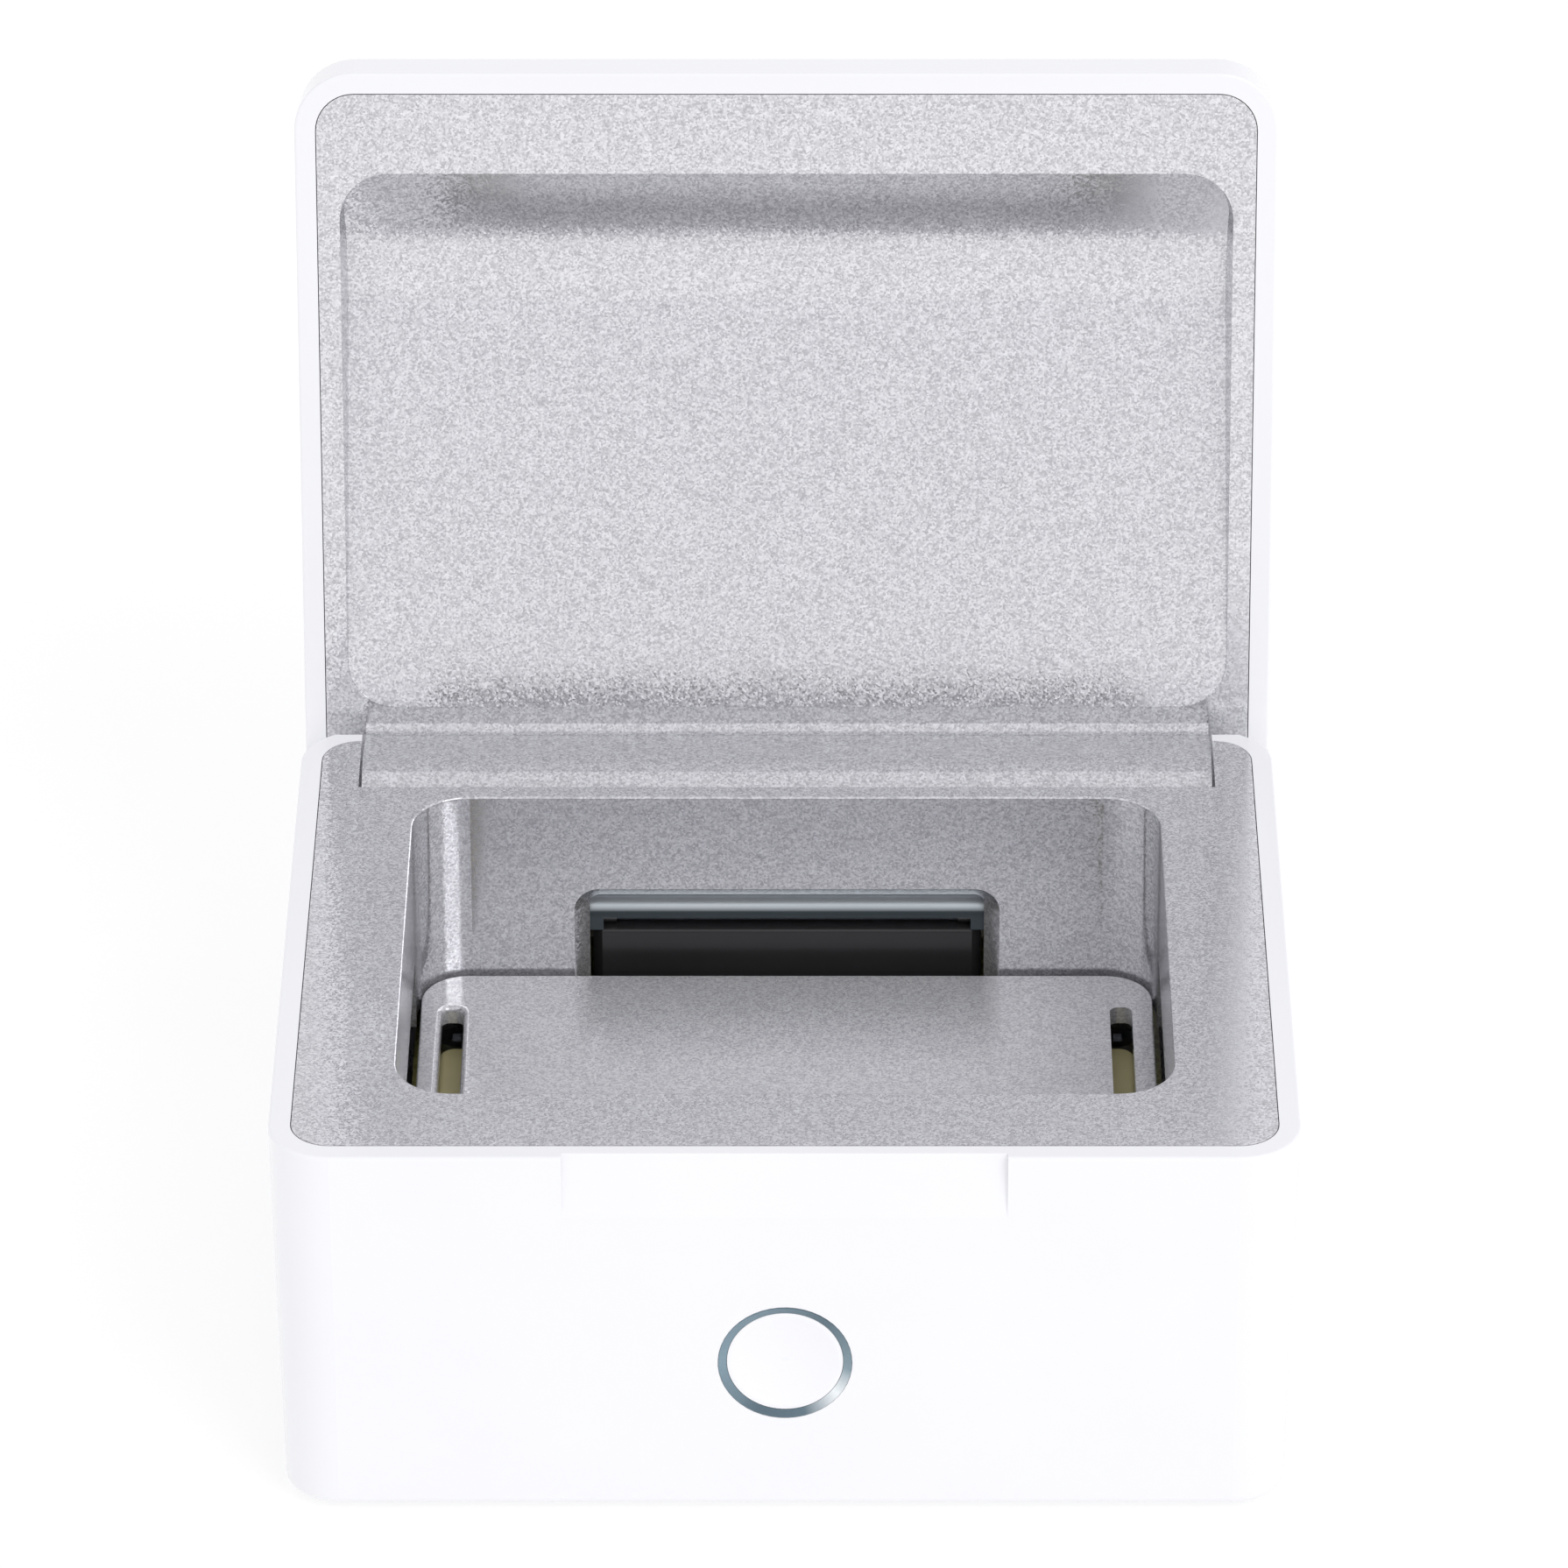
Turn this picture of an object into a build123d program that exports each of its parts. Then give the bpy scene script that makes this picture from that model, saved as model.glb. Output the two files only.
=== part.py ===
from build123d import *
from math import cos, radians, sin, sqrt, tan
import os

# Hearing aid dryer: a white box with a hinged lid, a silver drying chamber, a fan and a heater below
# the tray, and an ultraviolet lamp behind the chamber's rear window.
#
# Millimetres. X points right, Y back and Z up. The origin is on the surface the dryer stands on, under
# the middle of its case. The lid is modelled open, leaning back on its stop.

os.makedirs("parts", exist_ok=True)

# ---------------------------------------------------------------- driving dimensions

# Drying chamber and the room round it, which together set the size of the case
chamber_width = 79.9
chamber_depth = 59.1
chamber_corner_r = 5.9
chamber_wall = 1.8
chamber_edge_r = 0.25
room_beside = 12.55
room_in_front = 12.3
room_behind = 14.3

# Case
case_corner_r = 6.4
case_wall = 2.24
case_draft = 0.95  # degrees, the sides lean in away from the rim
shell_bottom_r = 1.1
rim_edge_r = 0.3
rim_seam = 0.1  # shadow line between a white rim and the silver panel inside it
ledge_width = 1.3
ledge_height = 1.6

# Feet and base plate
foot_height = 0.8
foot_strip_inset = 8.85
foot_strip_screw_gap = 1.2
foot_strip_band = 4.0
foot_strip_corner_r = 9.0
foot_strip_gap = 30.0
foot_groove = 0.6
base_plate_thickness = 2.4
base_plate_clearance = 0.15
intake_slot_width = 1.8
intake_slot_length = 30.0
intake_slot_pitch = 3.6
intake_slot_count = 9

# Thumb recess in the front
thumb_width = 45.2
thumb_height = 7.2
thumb_sink = 0.9

# Push button
button_drop = 25.2  # below the rim
button_r = 5.95
button_dish = 0.65
button_travel = 0.5
button_flange_overlap = 0.55
button_flange_thickness = 0.6
button_stem_r = 1.6
button_stem_length = 0.6
ring_r = 6.85
ring_lip = 0.75
ring_seat = 1.0
ring_barrel_length = 1.9
ring_barrel_wall = 0.4
ring_set_back = 0.3
ring_proud = 0.05
sliding_fit = 0.05
loose_fit = 0.1

# Switch behind the button
switch_size = 6.0
switch_thickness = 2.4
switch_plunger_r = 1.5
switch_plunger_out = 0.8
switch_plunger_in = 1.0
switch_board_width = 28.0
switch_board_height = 12.0
switch_board_thickness = 1.0
switch_screw_spacing = 22.0
switch_boss_r = 2.3

# Small screws
screw_shank_r = 1.0
screw_head_r = 1.9
screw_head_height = 1.1
screw_length = 5.0
screw_fit = 0.05
screw_socket_r = 0.9
screw_socket_depth = 0.6

# Deck
deck_thickness = 2.0
skirt_drop = 29.5  # rim to the lower end of the chamber walls
chamber_board_gap = 0.3
tray_ledge_beside = 1.35
tray_ledge_end = 3.0
tray_ledge_corner_r = 5.0
tray_ledge_thickness = 1.6
vent_inset = 8.1  # from the chamber's front and rear walls
vent_drop = 15.5
vent_corner_r = 1.0
window_width = 46.0
window_drop = 11.5
window_corner_r = 2.8
window_bevel = 1.65

# Tray
tray_drop = 22.0  # rim to the tray's upper face
tray_thickness = 2.0
tray_gap_beside = 0.5
tray_gap_end = 0.7
tray_corner_r = 5.0
tray_slot_width = 2.4
tray_slot_inset = 3.45
tray_slot_end = 6.6
tray_slot_corner_r = 0.9
tray_slot_soft_r = 0.6
tray_edge_r = 0.2

# Deck posts and the screws through the base plate
post_r = 2.6
post_gap = 0.85  # to the chamber's side walls
post_front_inset = 9.85
post_rear_inset = 19.85
base_screw_length = 8.0
base_screw_recess = 1.3

# Hinge
hinge_back = 5.0  # axis to the rear face of the case
hinge_drop = 6.9  # axis below the rim
open_angle = 100.5
lid_gap = 0.2
hinge_block_r = 6.3
hinge_block_gap = 0.3
hinge_block_end_gap = 0.2
hinge_block_fillet_r = 1.0
hinge_block_core_wall = 1.8
hinge_block_core_depth = 9.6
hinge_pin_r = 1.5
hinge_pin_length = 8.8
hinge_pin_in_block = 6.2
trough_wall = 1.3
corner_split_r = 8.0  # the case's rear corners are turned to this radius about the hinge axis
corner_clearance = 0.3
rear_wall_gap = 1.45  # rear wall's top edge below the open lid's rear face

# Lid
lid_thickness = 9.0
lid_top_wall = 2.2
lid_edge_r = 3.3
liner_thickness = 2.0
liner_pan_wall = 1.6
recess_inset_beside = 4.7
recess_inset_front = 11.1
recess_inset_rear = 14.2
recess_corner_r = 5.2
recess_sink = 3.0  # at the foot of the front round
recess_scoop = 15.0  # length of the front round
recess_side_draft = 12.0  # degrees

# Magnets
magnet_r = 2.4
magnet_thickness = 2.0
magnet_spacing = 60.0
magnet_set_back = 7.0  # front of the case to the magnets
magnet_cup_wall = 0.8

# Circuit board
board_post_gap = 2.1
board_front_inset = 11.35
board_rear_inset = 3.45
board_thickness = 1.6
board_corner_r = 3.0
board_underside = 9.4  # above the base plate
board_fan_gap = 2.0
board_post_r = 2.5
board_post_inset = 4.6
board_post_front_inset = 3.4
board_post_rear_gap = 2.7  # behind it, the chamber's rear wall

# Fan
fan_size = 40.0
fan_height = 10.0
fan_corner_r = 3.0
fan_rim = 1.3  # bore to the middle of each side
fan_hole_inset = 4.0
fan_hub_plate_r = 9.2
fan_hub_plate_thickness = 1.4
fan_strut_width = 2.2
fan_stator_r = 7.6
fan_stator_height = 4.2
fan_hub_r = 10.2
fan_hub_wall = 1.2
fan_hub_height = 6.8
fan_top_clearance = 0.6
fan_tip_clearance = 0.6
fan_blades = 7
fan_blade_thickness = 1.0
fan_blade_chord = 7.0
fan_blade_pitch = 50.0
fan_shaft_r = 1.0
fan_shaft_length = 6.6

# Air duct and heater
duct_beyond_slots = 1.5
duct_height = 2.8
duct_wall = 1.1
duct_corner_r = 1.6
duct_edge_r = 0.6
outlet_slots = 16
outlet_slot_width = 2.2
outlet_slot_length = 7.0
outlet_ring_r = 11.5
heater_inset = 1.8  # from the fan's sides
heater_thickness = 2.2

# Lamp behind the window
lamp_box_side_gap = 0.3
lamp_box_depth = 5.4
lamp_box_drop = 17.9  # rim to the top of the lamp box
lamp_box_chamfer = 1.0
lamp_box_edge_r = 0.4
lamp_box_gap = 0.25
hood_r = 2.0
hood_wall = 0.4
hood_overlap = 0.15  # beyond each side of the window
hood_skirt = 1.5
hood_lip = 1.6
lamp_r = 1.2
lamp_inset = 3.0
lamp_cap_r = 1.45
lamp_cap_length = 2.2
lamp_board_overlap = 0.5
lamp_board_height = 7.7
lamp_bracket_height = 4.9

# Power socket
socket_lamp_gap = 5.5
socket_body_width = 9.0
socket_body_depth = 9.0
socket_body_height = 11.0
socket_axis_height = 6.0
socket_barrel_r = 3.9
socket_barrel_recess = 0.3
socket_bore_r = 2.8
socket_bore_depth = 9.5
socket_pin_r = 1.0
socket_pin_length = 8.0

# Rear air slots
rear_slot_width = 1.6
rear_slot_height = 9.0
rear_slot_pitch = 3.6
rear_slot_count = 8

# Parts on the circuit board
part_gap = 1.0
part_edge_r = 0.2
chip_width = 7.0
chip_depth = 3.5
chip_thickness = 1.1
capacitor_r = 2.5
capacitor_height = 5.4
cutoff_length = 8.0
cutoff_width = 2.4
cutoff_thickness = 1.1

# ---------------------------------------------------------------- derived places

case_width = chamber_width + 2 * room_beside
case_depth = room_in_front + chamber_depth + room_behind
half_depth = case_depth / 2
cavity_width = case_width - 2 * case_wall
cavity_depth = case_depth - 2 * case_wall
cavity_corner_r = case_corner_r - case_wall
panel_width = cavity_width - 2 * rim_seam
panel_depth = cavity_depth - 2 * rim_seam
panel_corner_r = cavity_corner_r - rim_seam

base_plate_top = foot_height + base_plate_thickness
board_z = base_plate_top + board_underside
board_top = board_z + board_thickness
duct_top = board_top + duct_height
skirt_z = board_top + chamber_board_gap
rim_z = skirt_z + skirt_drop
rim_down = Plane(origin=(0, 0, rim_z), x_dir=(1, 0, 0), z_dir=(0, 0, -1))
deck_under_z = rim_z - deck_thickness
shell_height = rim_z - foot_height

chamber_y = -half_depth + room_in_front + chamber_depth / 2
chamber_rear_y = chamber_y + chamber_depth / 2
chamber_outer_rear_y = chamber_rear_y + chamber_wall
tray_top = rim_z - tray_drop
tray_under = tray_top - tray_thickness
tray_width = chamber_width - 2 * tray_gap_beside
tray_depth = chamber_depth - 2 * tray_gap_end
tray_slot_spacing = tray_width - 2 * tray_slot_inset
tray_slot_length = tray_depth - 2 * tray_slot_end
ledge_opening_width = chamber_width - 2 * tray_ledge_beside
ledge_opening_depth = chamber_depth - 2 * tray_ledge_end
window_inner_width = window_width - 2 * window_bevel

axis_y = half_depth - hinge_back
axis_z = rim_z - hinge_drop
lid_rise = hinge_drop + lid_gap
notch_width = case_width - 2 * case_corner_r
block_half = notch_width / 2 - hinge_block_end_gap
trough_r = hinge_block_r + hinge_block_gap
trough_outer_r = trough_r + trough_wall
notch_edge_r = hinge_block_fillet_r - hinge_block_gap
rear_wall_top = axis_z - hinge_back - rear_wall_gap
relief_r = corner_split_r + corner_clearance

lid_frame = Plane(
    origin=(0, axis_y, axis_z),
    x_dir=(1, 0, 0),
    z_dir=(0, sin(radians(open_angle)), cos(radians(open_angle))),
)
lid_rim = lid_frame.offset(lid_rise)
lid_centre = (0, -axis_y)
lid_front = -axis_y - half_depth
lid_section = Plane(origin=lid_frame.origin, x_dir=lid_frame.y_dir, z_dir=(1, 0, 0))
lid_outward = Axis(lid_frame.origin, lid_frame.z_dir)
hinge_section = Plane(origin=(0, axis_y, axis_z), x_dir=(0, 1, 0), z_dir=(1, 0, 0))


def lean(z):
    """How far a case wall stands in at height z from its place at the rim."""
    return (rim_z - z) * tan(radians(case_draft))


button_z = rim_z - button_drop
button_origin = (0, -half_depth + lean(button_z), button_z)
button_out = (0, -cos(radians(case_draft)), -sin(radians(case_draft)))
front_plane = Plane(origin=button_origin, x_dir=(1, 0, 0), z_dir=button_out)
button_section = Plane(
    origin=button_origin,
    x_dir=(1, 0, 0),
    z_dir=(0, sin(radians(case_draft)), -cos(radians(case_draft))),
)
button_axis = Axis(button_origin, button_out)
ring_bore_r = button_r + sliding_fit
ring_barrel_r = ring_bore_r + ring_barrel_wall
ring_end = ring_seat + ring_barrel_length
flange_front = ring_end + loose_fit
stem_front = flange_front + button_flange_thickness
plunger_front = stem_front + button_stem_length
switch_front = plunger_front + switch_plunger_out
switch_board_front = switch_front + switch_thickness

fan_bore_r = fan_size / 2 - fan_rim
fan_hole_spacing = fan_size - 2 * fan_hole_inset
board_opening = fan_size + 2 * board_fan_gap
heater_r = fan_size / 2 - heater_inset
fan_bottom = base_plate_top
fan_top = fan_bottom + fan_height
fan_hub_top = fan_top - fan_top_clearance

lamp_front_y = chamber_outer_rear_y + lamp_box_gap
lamp_back_y = lamp_front_y + lamp_box_depth
lamp_box_top = rim_z - lamp_box_drop
lamp_axis_y = lamp_front_y + hood_r
lamp_axis_z = lamp_box_top + hood_skirt
lamp_box_width = window_inner_width - 2 * lamp_box_side_gap
hood_width = window_inner_width + 2 * hood_overlap
lamp_length = hood_width - 2 * lamp_inset
lamp_board_width = window_width + 2 * lamp_board_overlap
socket_x = -lamp_board_width / 2 - socket_lamp_gap - socket_body_width / 2
socket_z = board_top + socket_axis_height
socket_rear_y = half_depth - lean(socket_z) - case_wall - loose_fit

post_x = chamber_width / 2 + chamber_wall + post_gap + post_r
post_front_y = -half_depth + post_front_inset
post_rear_y = half_depth - post_rear_inset
board_width = 2 * (post_x - post_r - board_post_gap)
board_front_y = -half_depth + board_front_inset
board_rear_y = half_depth - board_rear_inset
board_post_x = board_width / 2 - board_post_inset
board_post_front_y = board_front_y + board_post_front_inset
board_post_rear_y = chamber_rear_y - board_post_rear_gap
foot_strip_width = 2 * (post_x - screw_head_r - loose_fit - foot_strip_screw_gap)
foot_strip_depth = case_depth - 2 * foot_strip_inset
duct_width = tray_slot_spacing + 2 * duct_beyond_slots
duct_depth = tray_slot_length
duct_rear_y = chamber_y + duct_depth / 2
parts_row_y = duct_rear_y + part_gap + chip_depth / 2

deck_posts = [(side * post_x, y) for side in (-1, 1) for y in (post_front_y, post_rear_y)]
board_posts = [
    (side * board_post_x, y) for side in (-1, 1) for y in (board_post_front_y, board_post_rear_y)
]
fan_holes = [
    (sx * fan_hole_spacing / 2, chamber_y + sy * fan_hole_spacing / 2)
    for sx in (-1, 1)
    for sy in (-1, 1)
]
switch_screws = [(-switch_screw_spacing / 2, 0), (switch_screw_spacing / 2, 0)]
magnet_xs = (-magnet_spacing / 2, magnet_spacing / 2)
deck_magnets_at = [(x, -half_depth + magnet_set_back) for x in magnet_xs]
lid_magnets_at = [(x, lid_front + magnet_set_back) for x in magnet_xs]


# ---------------------------------------------------------------- shapes used more than once


def slab(plane, width, depth, corner_r, height, at=(0, 0), mode=Mode.ADD, taper=0.0):
    """A rounded rectangle raised from a plane, in the part being built."""
    with BuildSketch(plane) as outline:
        with Locations(at):
            RectangleRounded(width, depth, corner_r)
    extrude(outline.sketch, amount=height, taper=taper, mode=mode)


def rods(plane, places, radius, length, mode=Mode.ADD):
    """One round rod at each place, raised from a plane, in the part being built."""
    with BuildSketch(plane) as discs:
        with Locations(*places):
            Circle(radius)
    extrude(discs.sketch, amount=length, mode=mode)


def screws(plane, places, length):
    """Round-headed screws with a hexagon socket, their heads' seats on the plane, pointing down it."""
    rods(plane, places, screw_head_r, screw_head_height)
    rods(plane, places, screw_shank_r, -length)
    with BuildSketch(plane.offset(screw_head_height)) as sockets:
        with Locations(*places):
            RegularPolygon(screw_socket_r, 6)
    extrude(sockets.sketch, amount=-screw_socket_depth, mode=Mode.SUBTRACT)


def write(piece, name):
    """Labels a finished piece and writes its file."""
    piece.part.label = name
    export_step(piece.part, f"parts/{name}.step")


# ---------------------------------------------------------------- base: case


def inner_ledge(bottom_z):
    """A ledge round the inside of the shell, standing on height bottom_z."""
    inside_width = cavity_width - 2 * lean(bottom_z)
    inside_depth = cavity_depth - 2 * lean(bottom_z)
    with BuildSketch(Plane.XY.offset(bottom_z)) as ring:
        RectangleRounded(inside_width + case_wall, inside_depth + case_wall, case_corner_r)
        RectangleRounded(
            inside_width - 2 * ledge_width,
            inside_depth - 2 * ledge_width,
            cavity_corner_r - ledge_width,
            mode=Mode.SUBTRACT,
        )
    extrude(ring.sketch, amount=ledge_height)


with BuildPart() as base_shell:
    slab(rim_down, case_width, case_depth, case_corner_r, shell_height, taper=case_draft)
    fillet(base_shell.faces().sort_by(Axis.Z)[0].edges(), shell_bottom_r)
    fillet(base_shell.faces().sort_by(Axis.Z)[-1].edges(), rim_edge_r)
    slab(
        rim_down,
        cavity_width,
        cavity_depth,
        cavity_corner_r,
        shell_height,
        mode=Mode.SUBTRACT,
        taper=case_draft,
    )
    inner_ledge(base_plate_top)
    inner_ledge(deck_under_z - ledge_height)
    # the hinge trough hangs inside the rear wall, so the upper ledge stops short of it
    trough_room = trough_outer_r + notch_edge_r + rim_seam
    with BuildSketch(Plane.XY.offset(deck_under_z - ledge_height)):
        with Locations((0, axis_y - trough_room)):
            Rectangle(
                cavity_width - 2 * lean(deck_under_z - ledge_height),
                trough_room + hinge_back - case_wall - lean(deck_under_z - ledge_height),
                align=(Align.CENTER, Align.MIN),
            )
    extrude(amount=ledge_height, mode=Mode.SUBTRACT)
    # notch in the rear wall for the lid's hinge block
    with BuildSketch(Plane.XY.offset(rear_wall_top)):
        with Locations((0, axis_y)):
            Rectangle(notch_width, 2 * hinge_back, align=(Align.CENTER, Align.MIN))
    extrude(amount=rim_z, mode=Mode.SUBTRACT)
    # rear corners turned about the hinge axis, so that the lid swings past them
    with BuildSketch(hinge_section):
        Rectangle(2 * hinge_drop, 2 * hinge_drop, align=(Align.MIN, Align.MIN))
        Circle(corner_split_r, mode=Mode.SUBTRACT)
    extrude(amount=case_width, both=True, mode=Mode.SUBTRACT)
    # thumb recess: deepest at the rim, running out to nothing
    with BuildSketch(Plane.YZ):
        with BuildLine():
            Polyline(
                (-half_depth - thumb_sink, rim_z + thumb_sink),
                (-half_depth + thumb_sink, rim_z + thumb_sink),
                (-half_depth + thumb_sink, rim_z),
                (-half_depth + lean(rim_z - thumb_height), rim_z - thumb_height),
                (-half_depth - thumb_sink, rim_z - thumb_height),
                close=True,
            )
        make_face()
    extrude(amount=thumb_width / 2, both=True, mode=Mode.SUBTRACT)
    # button opening with a seat for its ring
    rods(front_plane, [(0, 0)], ring_r + sliding_fit, -ring_seat, Mode.SUBTRACT)
    rods(front_plane, [(0, 0)], ring_barrel_r + sliding_fit, -2 * case_wall, Mode.SUBTRACT)
    # bosses that carry the switch board
    boss_root = case_wall / 2
    rods(
        front_plane.offset(-boss_root), switch_screws, switch_boss_r, boss_root - switch_board_front
    )
    rods(
        front_plane.offset(-switch_board_front),
        switch_screws,
        screw_shank_r + screw_fit,
        switch_board_front - case_wall,
        Mode.SUBTRACT,
    )
    # power socket opening and air slots in the rear wall
    behind = Plane.XZ.offset(-half_depth - case_wall)
    rods(behind, [(socket_x, socket_z)], socket_barrel_r + loose_fit, 3 * case_wall, Mode.SUBTRACT)
    with BuildSketch(behind):
        with Locations((-socket_x, socket_z)):
            with GridLocations(rear_slot_pitch, rear_slot_pitch, rear_slot_count, 1):
                SlotOverall(rear_slot_height, rear_slot_width, rotation=90)
    extrude(amount=3 * case_wall, mode=Mode.SUBTRACT)
write(base_shell, "base_shell")

plate_width = cavity_width - 2 * (lean(foot_height) + base_plate_clearance)
plate_depth = cavity_depth - 2 * (lean(foot_height) + base_plate_clearance)
plate_corner_r = cavity_corner_r - lean(foot_height) - base_plate_clearance

with BuildPart() as base_plate:
    slab(
        Plane.XY.offset(foot_height), plate_width, plate_depth, plate_corner_r, base_plate_thickness
    )
    rods(Plane.XY.offset(base_plate_top), board_posts, board_post_r, board_underside)
    rods(
        Plane.XY.offset(board_z),
        board_posts,
        screw_shank_r + screw_fit,
        -screw_length,
        Mode.SUBTRACT,
    )
    rods(
        Plane.XY.offset(foot_height),
        deck_posts,
        screw_head_r + loose_fit,
        base_screw_recess,
        Mode.SUBTRACT,
    )
    rods(
        Plane.XY.offset(foot_height),
        deck_posts,
        screw_shank_r + loose_fit,
        base_plate_thickness,
        Mode.SUBTRACT,
    )
    rods(
        Plane.XY.offset(base_plate_top),
        fan_holes,
        screw_shank_r + screw_fit,
        -base_plate_thickness / 2,
        Mode.SUBTRACT,
    )
    # air intake under the fan
    with BuildSketch(Plane.XY.offset(foot_height)):
        with Locations((0, chamber_y)):
            with GridLocations(intake_slot_pitch, intake_slot_pitch, intake_slot_count, 1):
                SlotOverall(intake_slot_length, intake_slot_width, rotation=90)
    extrude(amount=base_plate_thickness, mode=Mode.SUBTRACT)
    # groove for the foot strip
    with BuildSketch(Plane.XY.offset(foot_height)):
        RectangleRounded(foot_strip_width, foot_strip_depth, foot_strip_corner_r)
        RectangleRounded(
            foot_strip_width - 2 * foot_strip_band,
            foot_strip_depth - 2 * foot_strip_band,
            foot_strip_corner_r - foot_strip_band,
            mode=Mode.SUBTRACT,
        )
    extrude(amount=foot_groove, mode=Mode.SUBTRACT)
write(base_plate, "base_plate")

with BuildPart() as foot_strip:
    with BuildSketch():
        RectangleRounded(
            foot_strip_width - 2 * sliding_fit,
            foot_strip_depth - 2 * sliding_fit,
            foot_strip_corner_r - sliding_fit,
        )
        RectangleRounded(
            foot_strip_width - 2 * (foot_strip_band - sliding_fit),
            foot_strip_depth - 2 * (foot_strip_band - sliding_fit),
            foot_strip_corner_r - foot_strip_band + sliding_fit,
            mode=Mode.SUBTRACT,
        )
        # open at the back, where the air comes in
        with Locations((0, foot_strip_depth / 2)):
            Rectangle(foot_strip_gap, 4 * foot_strip_band, mode=Mode.SUBTRACT)
    extrude(amount=foot_height + foot_groove)
write(foot_strip, "foot_strip")

with BuildPart() as base_screws:
    screw_seat = Plane(
        origin=(0, 0, foot_height + base_screw_recess), x_dir=(1, 0, 0), z_dir=(0, 0, -1)
    )
    screws(screw_seat, [(x, -y) for x, y in deck_posts], base_screw_length)
write(base_screws, "base_screws")

# ---------------------------------------------------------------- base: deck, chamber and tray

with BuildPart() as deck_panel:
    slab(Plane.XY.offset(deck_under_z), panel_width, panel_depth, panel_corner_r, deck_thickness)
    slab(
        Plane.XY.offset(skirt_z),
        chamber_width + 2 * chamber_wall,
        chamber_depth + 2 * chamber_wall,
        chamber_corner_r + chamber_wall,
        skirt_drop,
        at=(0, chamber_y),
    )
    # block for the hinge trough and its two cheeks
    with BuildSketch(hinge_section):
        Circle(trough_outer_r)
        Rectangle(2 * trough_outer_r, hinge_drop, align=(Align.CENTER, Align.MIN))
    extrude(amount=panel_width / 2 - rim_seam, both=True)
    rods(Plane.XY.offset(base_plate_top), deck_posts, post_r, deck_under_z - base_plate_top)
    rods(
        Plane.XY.offset(deck_under_z),
        deck_magnets_at,
        magnet_r + sliding_fit + magnet_cup_wall,
        -magnet_thickness,
    )
    # everything stays inside the case's drafted walls
    slab(
        rim_down,
        panel_width,
        panel_depth,
        panel_corner_r,
        shell_height,
        mode=Mode.INTERSECT,
        taper=case_draft,
    )
    # the chamber, and the smaller opening that leaves a ledge for the tray
    slab(
        Plane.XY.offset(tray_under),
        chamber_width,
        chamber_depth,
        chamber_corner_r,
        rim_z - tray_under,
        at=(0, chamber_y),
        mode=Mode.SUBTRACT,
    )
    slab(
        Plane.XY.offset(skirt_z),
        ledge_opening_width,
        ledge_opening_depth,
        tray_ledge_corner_r,
        skirt_drop,
        at=(0, chamber_y),
        mode=Mode.SUBTRACT,
    )
    slab(
        Plane.XY.offset(skirt_z),
        chamber_width,
        chamber_depth,
        chamber_corner_r,
        tray_under - tray_ledge_thickness - skirt_z,
        at=(0, chamber_y),
        mode=Mode.SUBTRACT,
    )
    chamber_rim = (
        deck_panel.edges()
        .filter_by_position(Axis.Z, rim_z, rim_z)
        .filter_by_position(Axis.Y, chamber_y - chamber_depth / 2, chamber_rear_y)
        .filter_by_position(Axis.X, -chamber_width / 2, chamber_width / 2)
    )
    fillet(chamber_rim, chamber_edge_r)
    # room for the hinge block to turn in
    with BuildSketch(hinge_section):
        Circle(trough_r)
        Rectangle(2 * trough_r, 2 * hinge_drop, align=(Align.CENTER, Align.MIN))
        with Locations((0, -hinge_back - rear_wall_gap)):
            Rectangle(2 * trough_r, 2 * trough_r, align=(Align.MIN, Align.MIN))
    extrude(amount=notch_width / 2, both=True, mode=Mode.SUBTRACT)
    notch_edge = (
        deck_panel.edges()
        .filter_by(Axis.X)
        .filter_by_position(Axis.Z, rim_z, rim_z)
        .sort_by(lambda edge: abs(edge.center().Y - (axis_y - trough_r)))[0]
    )
    fillet(notch_edge, notch_edge_r)
    # bores for the hinge pins in the two cheeks
    for side in (-1, 1):
        cheek_bore = Plane.YZ.offset(side * notch_width / 2)
        rods(
            cheek_bore,
            [(axis_y, axis_z)],
            hinge_pin_r + screw_fit / 2,
            side * (hinge_pin_length - hinge_pin_in_block),
            Mode.SUBTRACT,
        )
    # below the tray only the front and rear walls go on, and side vents open into the case
    vent_reach = chamber_width + 2 * chamber_wall + post_gap
    with BuildSketch(Plane.XY.offset(skirt_z)):
        with Locations((0, chamber_y)):
            Rectangle(vent_reach, chamber_depth)
            Rectangle(ledge_opening_width, chamber_depth, mode=Mode.SUBTRACT)
    extrude(amount=tray_under - skirt_z, mode=Mode.SUBTRACT)
    vent_height = rim_z - vent_drop - tray_under
    with BuildSketch(Plane.YZ):
        with Locations((chamber_y, tray_under - vent_corner_r)):
            RectangleRounded(
                chamber_depth - 2 * vent_inset,
                vent_height + vent_corner_r,
                vent_corner_r,
                align=(Align.CENTER, Align.MIN),
            )
    extrude(amount=vent_reach / 2, both=True, mode=Mode.SUBTRACT)
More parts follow.
